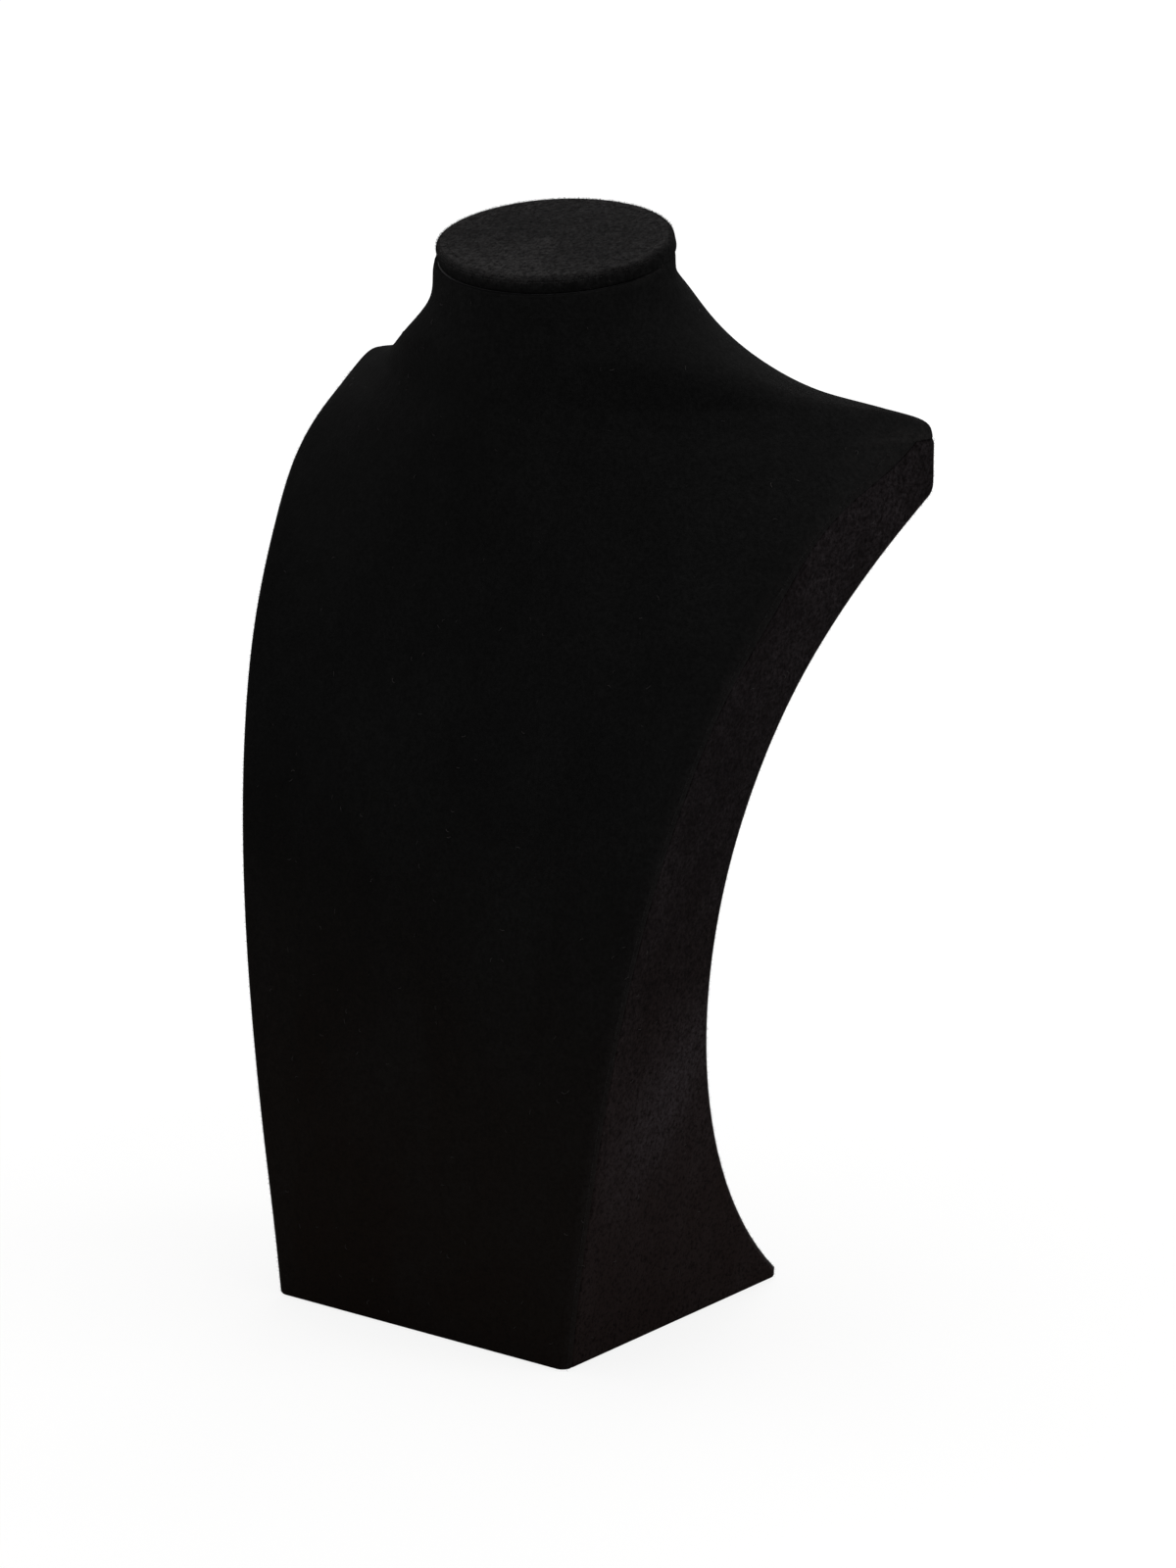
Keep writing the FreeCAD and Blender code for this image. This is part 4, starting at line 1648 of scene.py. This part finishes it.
@dataclass
class Studio:
    """The pale floor, the soft lamps and the camera.

    Angles are in degrees, the lens in millimetres and lengths in metres. Each lamp
    has its name, place, size and power in watts.
    """

    azimuth: float = 37.762
    elevation: float = 14.087
    distance: float = 1.85
    aim: tuple[float, float, float] = (0.026894, -0.0015, 0.192938)
    lens: float = 120.15
    lamps: tuple[tuple[str, tuple[float, float, float], float, float], ...] = (
        ("overhead_softbox", (-0.1, 0.15, 1.6), 1.1, 12.0),
        ("side_softbox", (1.4, 0.55, 0.95), 0.8, 7.5),
        ("front_fill", (-0.5, -1.5, 0.7), 1.0, 3.0),
        ("rim_softbox", (-0.7, 1.3, 0.95), 0.7, 3.0))
    lamp_aim: tuple[float, float, float] = (0.0, 0.0, 0.2)
    floor_half: float = 14.0
    soft_light: float = 0.45

    def camera(self) -> None:
        """Place the camera at the photograph's angle."""
        a, e = math.radians(self.azimuth), math.radians(self.elevation)
        back = Vector((math.sin(a) * math.cos(e), -math.cos(a) * math.cos(e), math.sin(e)))
        data = bpy.data.cameras.new("camera")
        data.lens = self.lens
        data.sensor_width = 36.0
        eye = put_in_scene("camera", data)
        eye.location = Vector(self.aim) + back * self.distance
        eye.rotation_euler = (-back).to_track_quat("-Z", "Y").to_euler()
        bpy.context.scene.camera = eye

    def light(self) -> None:
        """Add the soft square lamps, which look at the middle of the bust."""
        for name, place, size, power in self.lamps:
            data = bpy.data.lights.new(name, "AREA")
            data.size = size
            data.energy = power
            lamp = put_in_scene(name, data)
            lamp.location = place
            aim = Vector(self.lamp_aim) - Vector(place)
            lamp.rotation_euler = aim.to_track_quat("-Z", "Y").to_euler()

    def floor(self) -> None:
        """Add the pale floor, which shows near white to the camera and keeps the shadow."""
        material, tree, shader = new_material("matt_white_paper")
        shader.inputs["Base Color"].default_value = linear("#e2e2e1")
        shader.inputs["Roughness"].default_value = 0.9
        shader.inputs["Specular IOR Level"].default_value = 0.0
        path = add_node(tree, "ShaderNodeLightPath")
        place = add_node(tree, "ShaderNodeTexCoord")
        far = add_node(tree, "ShaderNodeVectorMath", {0: place.outputs["Object"]},
                       operation="LENGTH")
        # to the camera the paper is white, and a little brighter 1.5 m away than at 0.25 m
        strength = add_node(tree, "ShaderNodeMapRange", {
            "Value": far.outputs["Value"], "From Min": 0.25, "From Max": 1.5,
            "To Min": 1.06, "To Max": 1.24})
        glow = add_node(tree, "ShaderNodeEmission", {
            "Color": (1, 1, 1, 1), "Strength": strength.outputs[0]})
        share = add_node(tree, "ShaderNodeMath", {0: path.outputs["Is Camera Ray"], 1: 0.8},
                         operation="MULTIPLY")
        mixed = add_node(tree, "ShaderNodeMixShader", {
            0: share.outputs[0], 1: shader.outputs[0], 2: glow.outputs[0]})
        tree.links.new(mixed.outputs[0], tree.nodes["Material Output"].inputs[0])
        mesh = bpy.data.meshes.new("floor")
        corners = [(x * self.floor_half, y * self.floor_half, 0)
                   for x, y in ((-1, -1), (1, -1), (1, 1), (-1, 1))]
        mesh.from_pydata(corners, [], [(0, 1, 2, 3)])
        mesh.materials.append(material)
        put_in_scene("floor", mesh)

    def world(self) -> None:
        """Light the scene from all round and show white behind it."""
        world = bpy.data.worlds.new("studio")
        bpy.context.scene.world = world
        world.use_nodes = True
        tree = world.node_tree
        path = add_node(tree, "ShaderNodeLightPath")
        soft, white = (
            add_node(tree, "ShaderNodeBackground", {"Color": (1, 1, 1, 1), "Strength": strength})
            for strength in (self.soft_light, 1.0))
        mixed = add_node(tree, "ShaderNodeMixShader", {
            0: path.outputs["Is Camera Ray"], 1: soft.outputs[0], 2: white.outputs[0]})
        tree.links.new(mixed.outputs[0], tree.nodes["World Output"].inputs[0])

    def build(self) -> None:
        """Set up floor, light and camera."""
        self.floor()
        self.world()
        self.light()
        self.camera()
        bpy.context.scene.view_settings.view_transform = "Standard"


def fold_lines(front: FrontAndNeckCover, panels: SideAndBackCovers,
               disc: DiscCover) -> list[tuple[np.ndarray, np.ndarray]]:
    """Return the folds where the pile opens: creases, rear edges and the disc's rim.

    Args:
        front: The front and neck cover, already built.
        panels: The side and back covers, already built.
        disc: The disc's cover, already built.

    Returns:
        For each fold its points and the outward directions.
    """
    crease = front.round_crease // 2
    right, left = panels.patches[:2]
    # the column in the middle of the turn round the rear edge, and the rings of the disc's edge
    rounded = len(panels.turned_in) + 3
    rings = range(10, 20, 2)
    return [fold_line(front.patches[0], np.s_[:, crease]),
            fold_line(front.patches[0], np.s_[:, -1 - crease]),
            fold_line(right, np.s_[:, -1 - rounded]), fold_line(left, np.s_[:, rounded]),
            *(fold_line(disc.patches[0], np.s_[ring]) for ring in rings)]


def fold_line(patch: Patch, line: int | tuple, sunk: float = 0.1) -> tuple[np.ndarray, np.ndarray]:
    """Return one row or column of a patch as the line of a fold.

    Args:
        patch: The patch.
        line: Index of the row or column in its grid.
        sunk: How far inside the cloth the fibres start, in millimetres.

    Returns:
        The points and the outward unit normal at each.
    """
    out = np.cross(np.gradient(patch.points, axis=1), np.gradient(patch.points, axis=0))
    out /= np.maximum(np.linalg.norm(out, axis=2, keepdims=True), 1e-9)
    return patch.points[line] - sunk * out[line], out[line]


def dress_solids() -> None:
    """Give each carried-over solid its procedural material."""
    board = Hardboard().build()
    shell = MouldedStyrene().build()
    for name, material in {"body_shell": shell, "back_panel": board, "base_board": board,
                           "neck_disc": board}.items():
        solid = bpy.data.objects[name]
        for slot in solid.material_slots:
            slot.material = material
        if not solid.material_slots:
            solid.data.materials.append(material)


def main() -> None:
    """Build the bust's covers, dress its solids and set up the studio."""
    logging.basicConfig(level=logging.INFO, format="%(name)s: %(message)s")
    form = BustForm()
    flat_velvet = CottonVelvet(
        "cotton_velvet_pile_flat", deep="#070707", bloom="#141414", rub="#242222",
        foot="#100b08", bloom_share=0.8, grain=0.45, painted_light_sweep=(0.0013, 0.0009), lie=0.17,
        cloud_share=0.26).build()
    # the sides' copy of the velvet is paler, partly for its pile brushed up and partly as painted
    # light for the light the sides catch
    side_velvet_brushed_and_painted_light = CottonVelvet(
        "cotton_velvet_pile_brushed_up_and_painted_light", deep="#080606", bloom="#292527", rub="#302b2c",
        foot="#1a1413", bloom_share=0.53, grain=0.9, painted_light_sweep=(0.0, 0.0016), lie=-0.08,
        cloud_share=0.34, stroke=(42.0, 104.0, 32.0, 80.0, -0.6, 1.15)).build()
    # the disc's copy: its paler colour for worn pile also paints the light on the disc's top and
    # rim
    disc_velvet_handled_and_painted_light = CottonVelvet(
        "cotton_velvet_pile_handled_and_painted_light", deep="#080808", bloom="#151515", rub="#2b2a2a",
        foot="#080808", bloom_share=0.75, grain=0.85).build()
    front, panels, disc = FrontAndNeckCover(form), SideAndBackCovers(form), DiscCover(form)
    front.dress(flat_velvet)
    panels.dress(side_velvet_brushed_and_painted_light)
    disc.dress(disc_velvet_handled_and_painted_light)
    lint = CottonFibre("shed_cotton_lint", "#211f1f", "#383535").build()
    pile = CottonFibre("cut_cotton_pile", "#161515", "#2e2c2c").build()
    LooseLint().dress(front.patches + panels.patches + disc.patches, lint)
    PileFringe().dress(fold_lines(front, panels, disc), pile)
    FeltPad().dress(NeedledFelt().build())
    dress_solids()
    Studio().build()


if __name__ == "__main__":
    main()
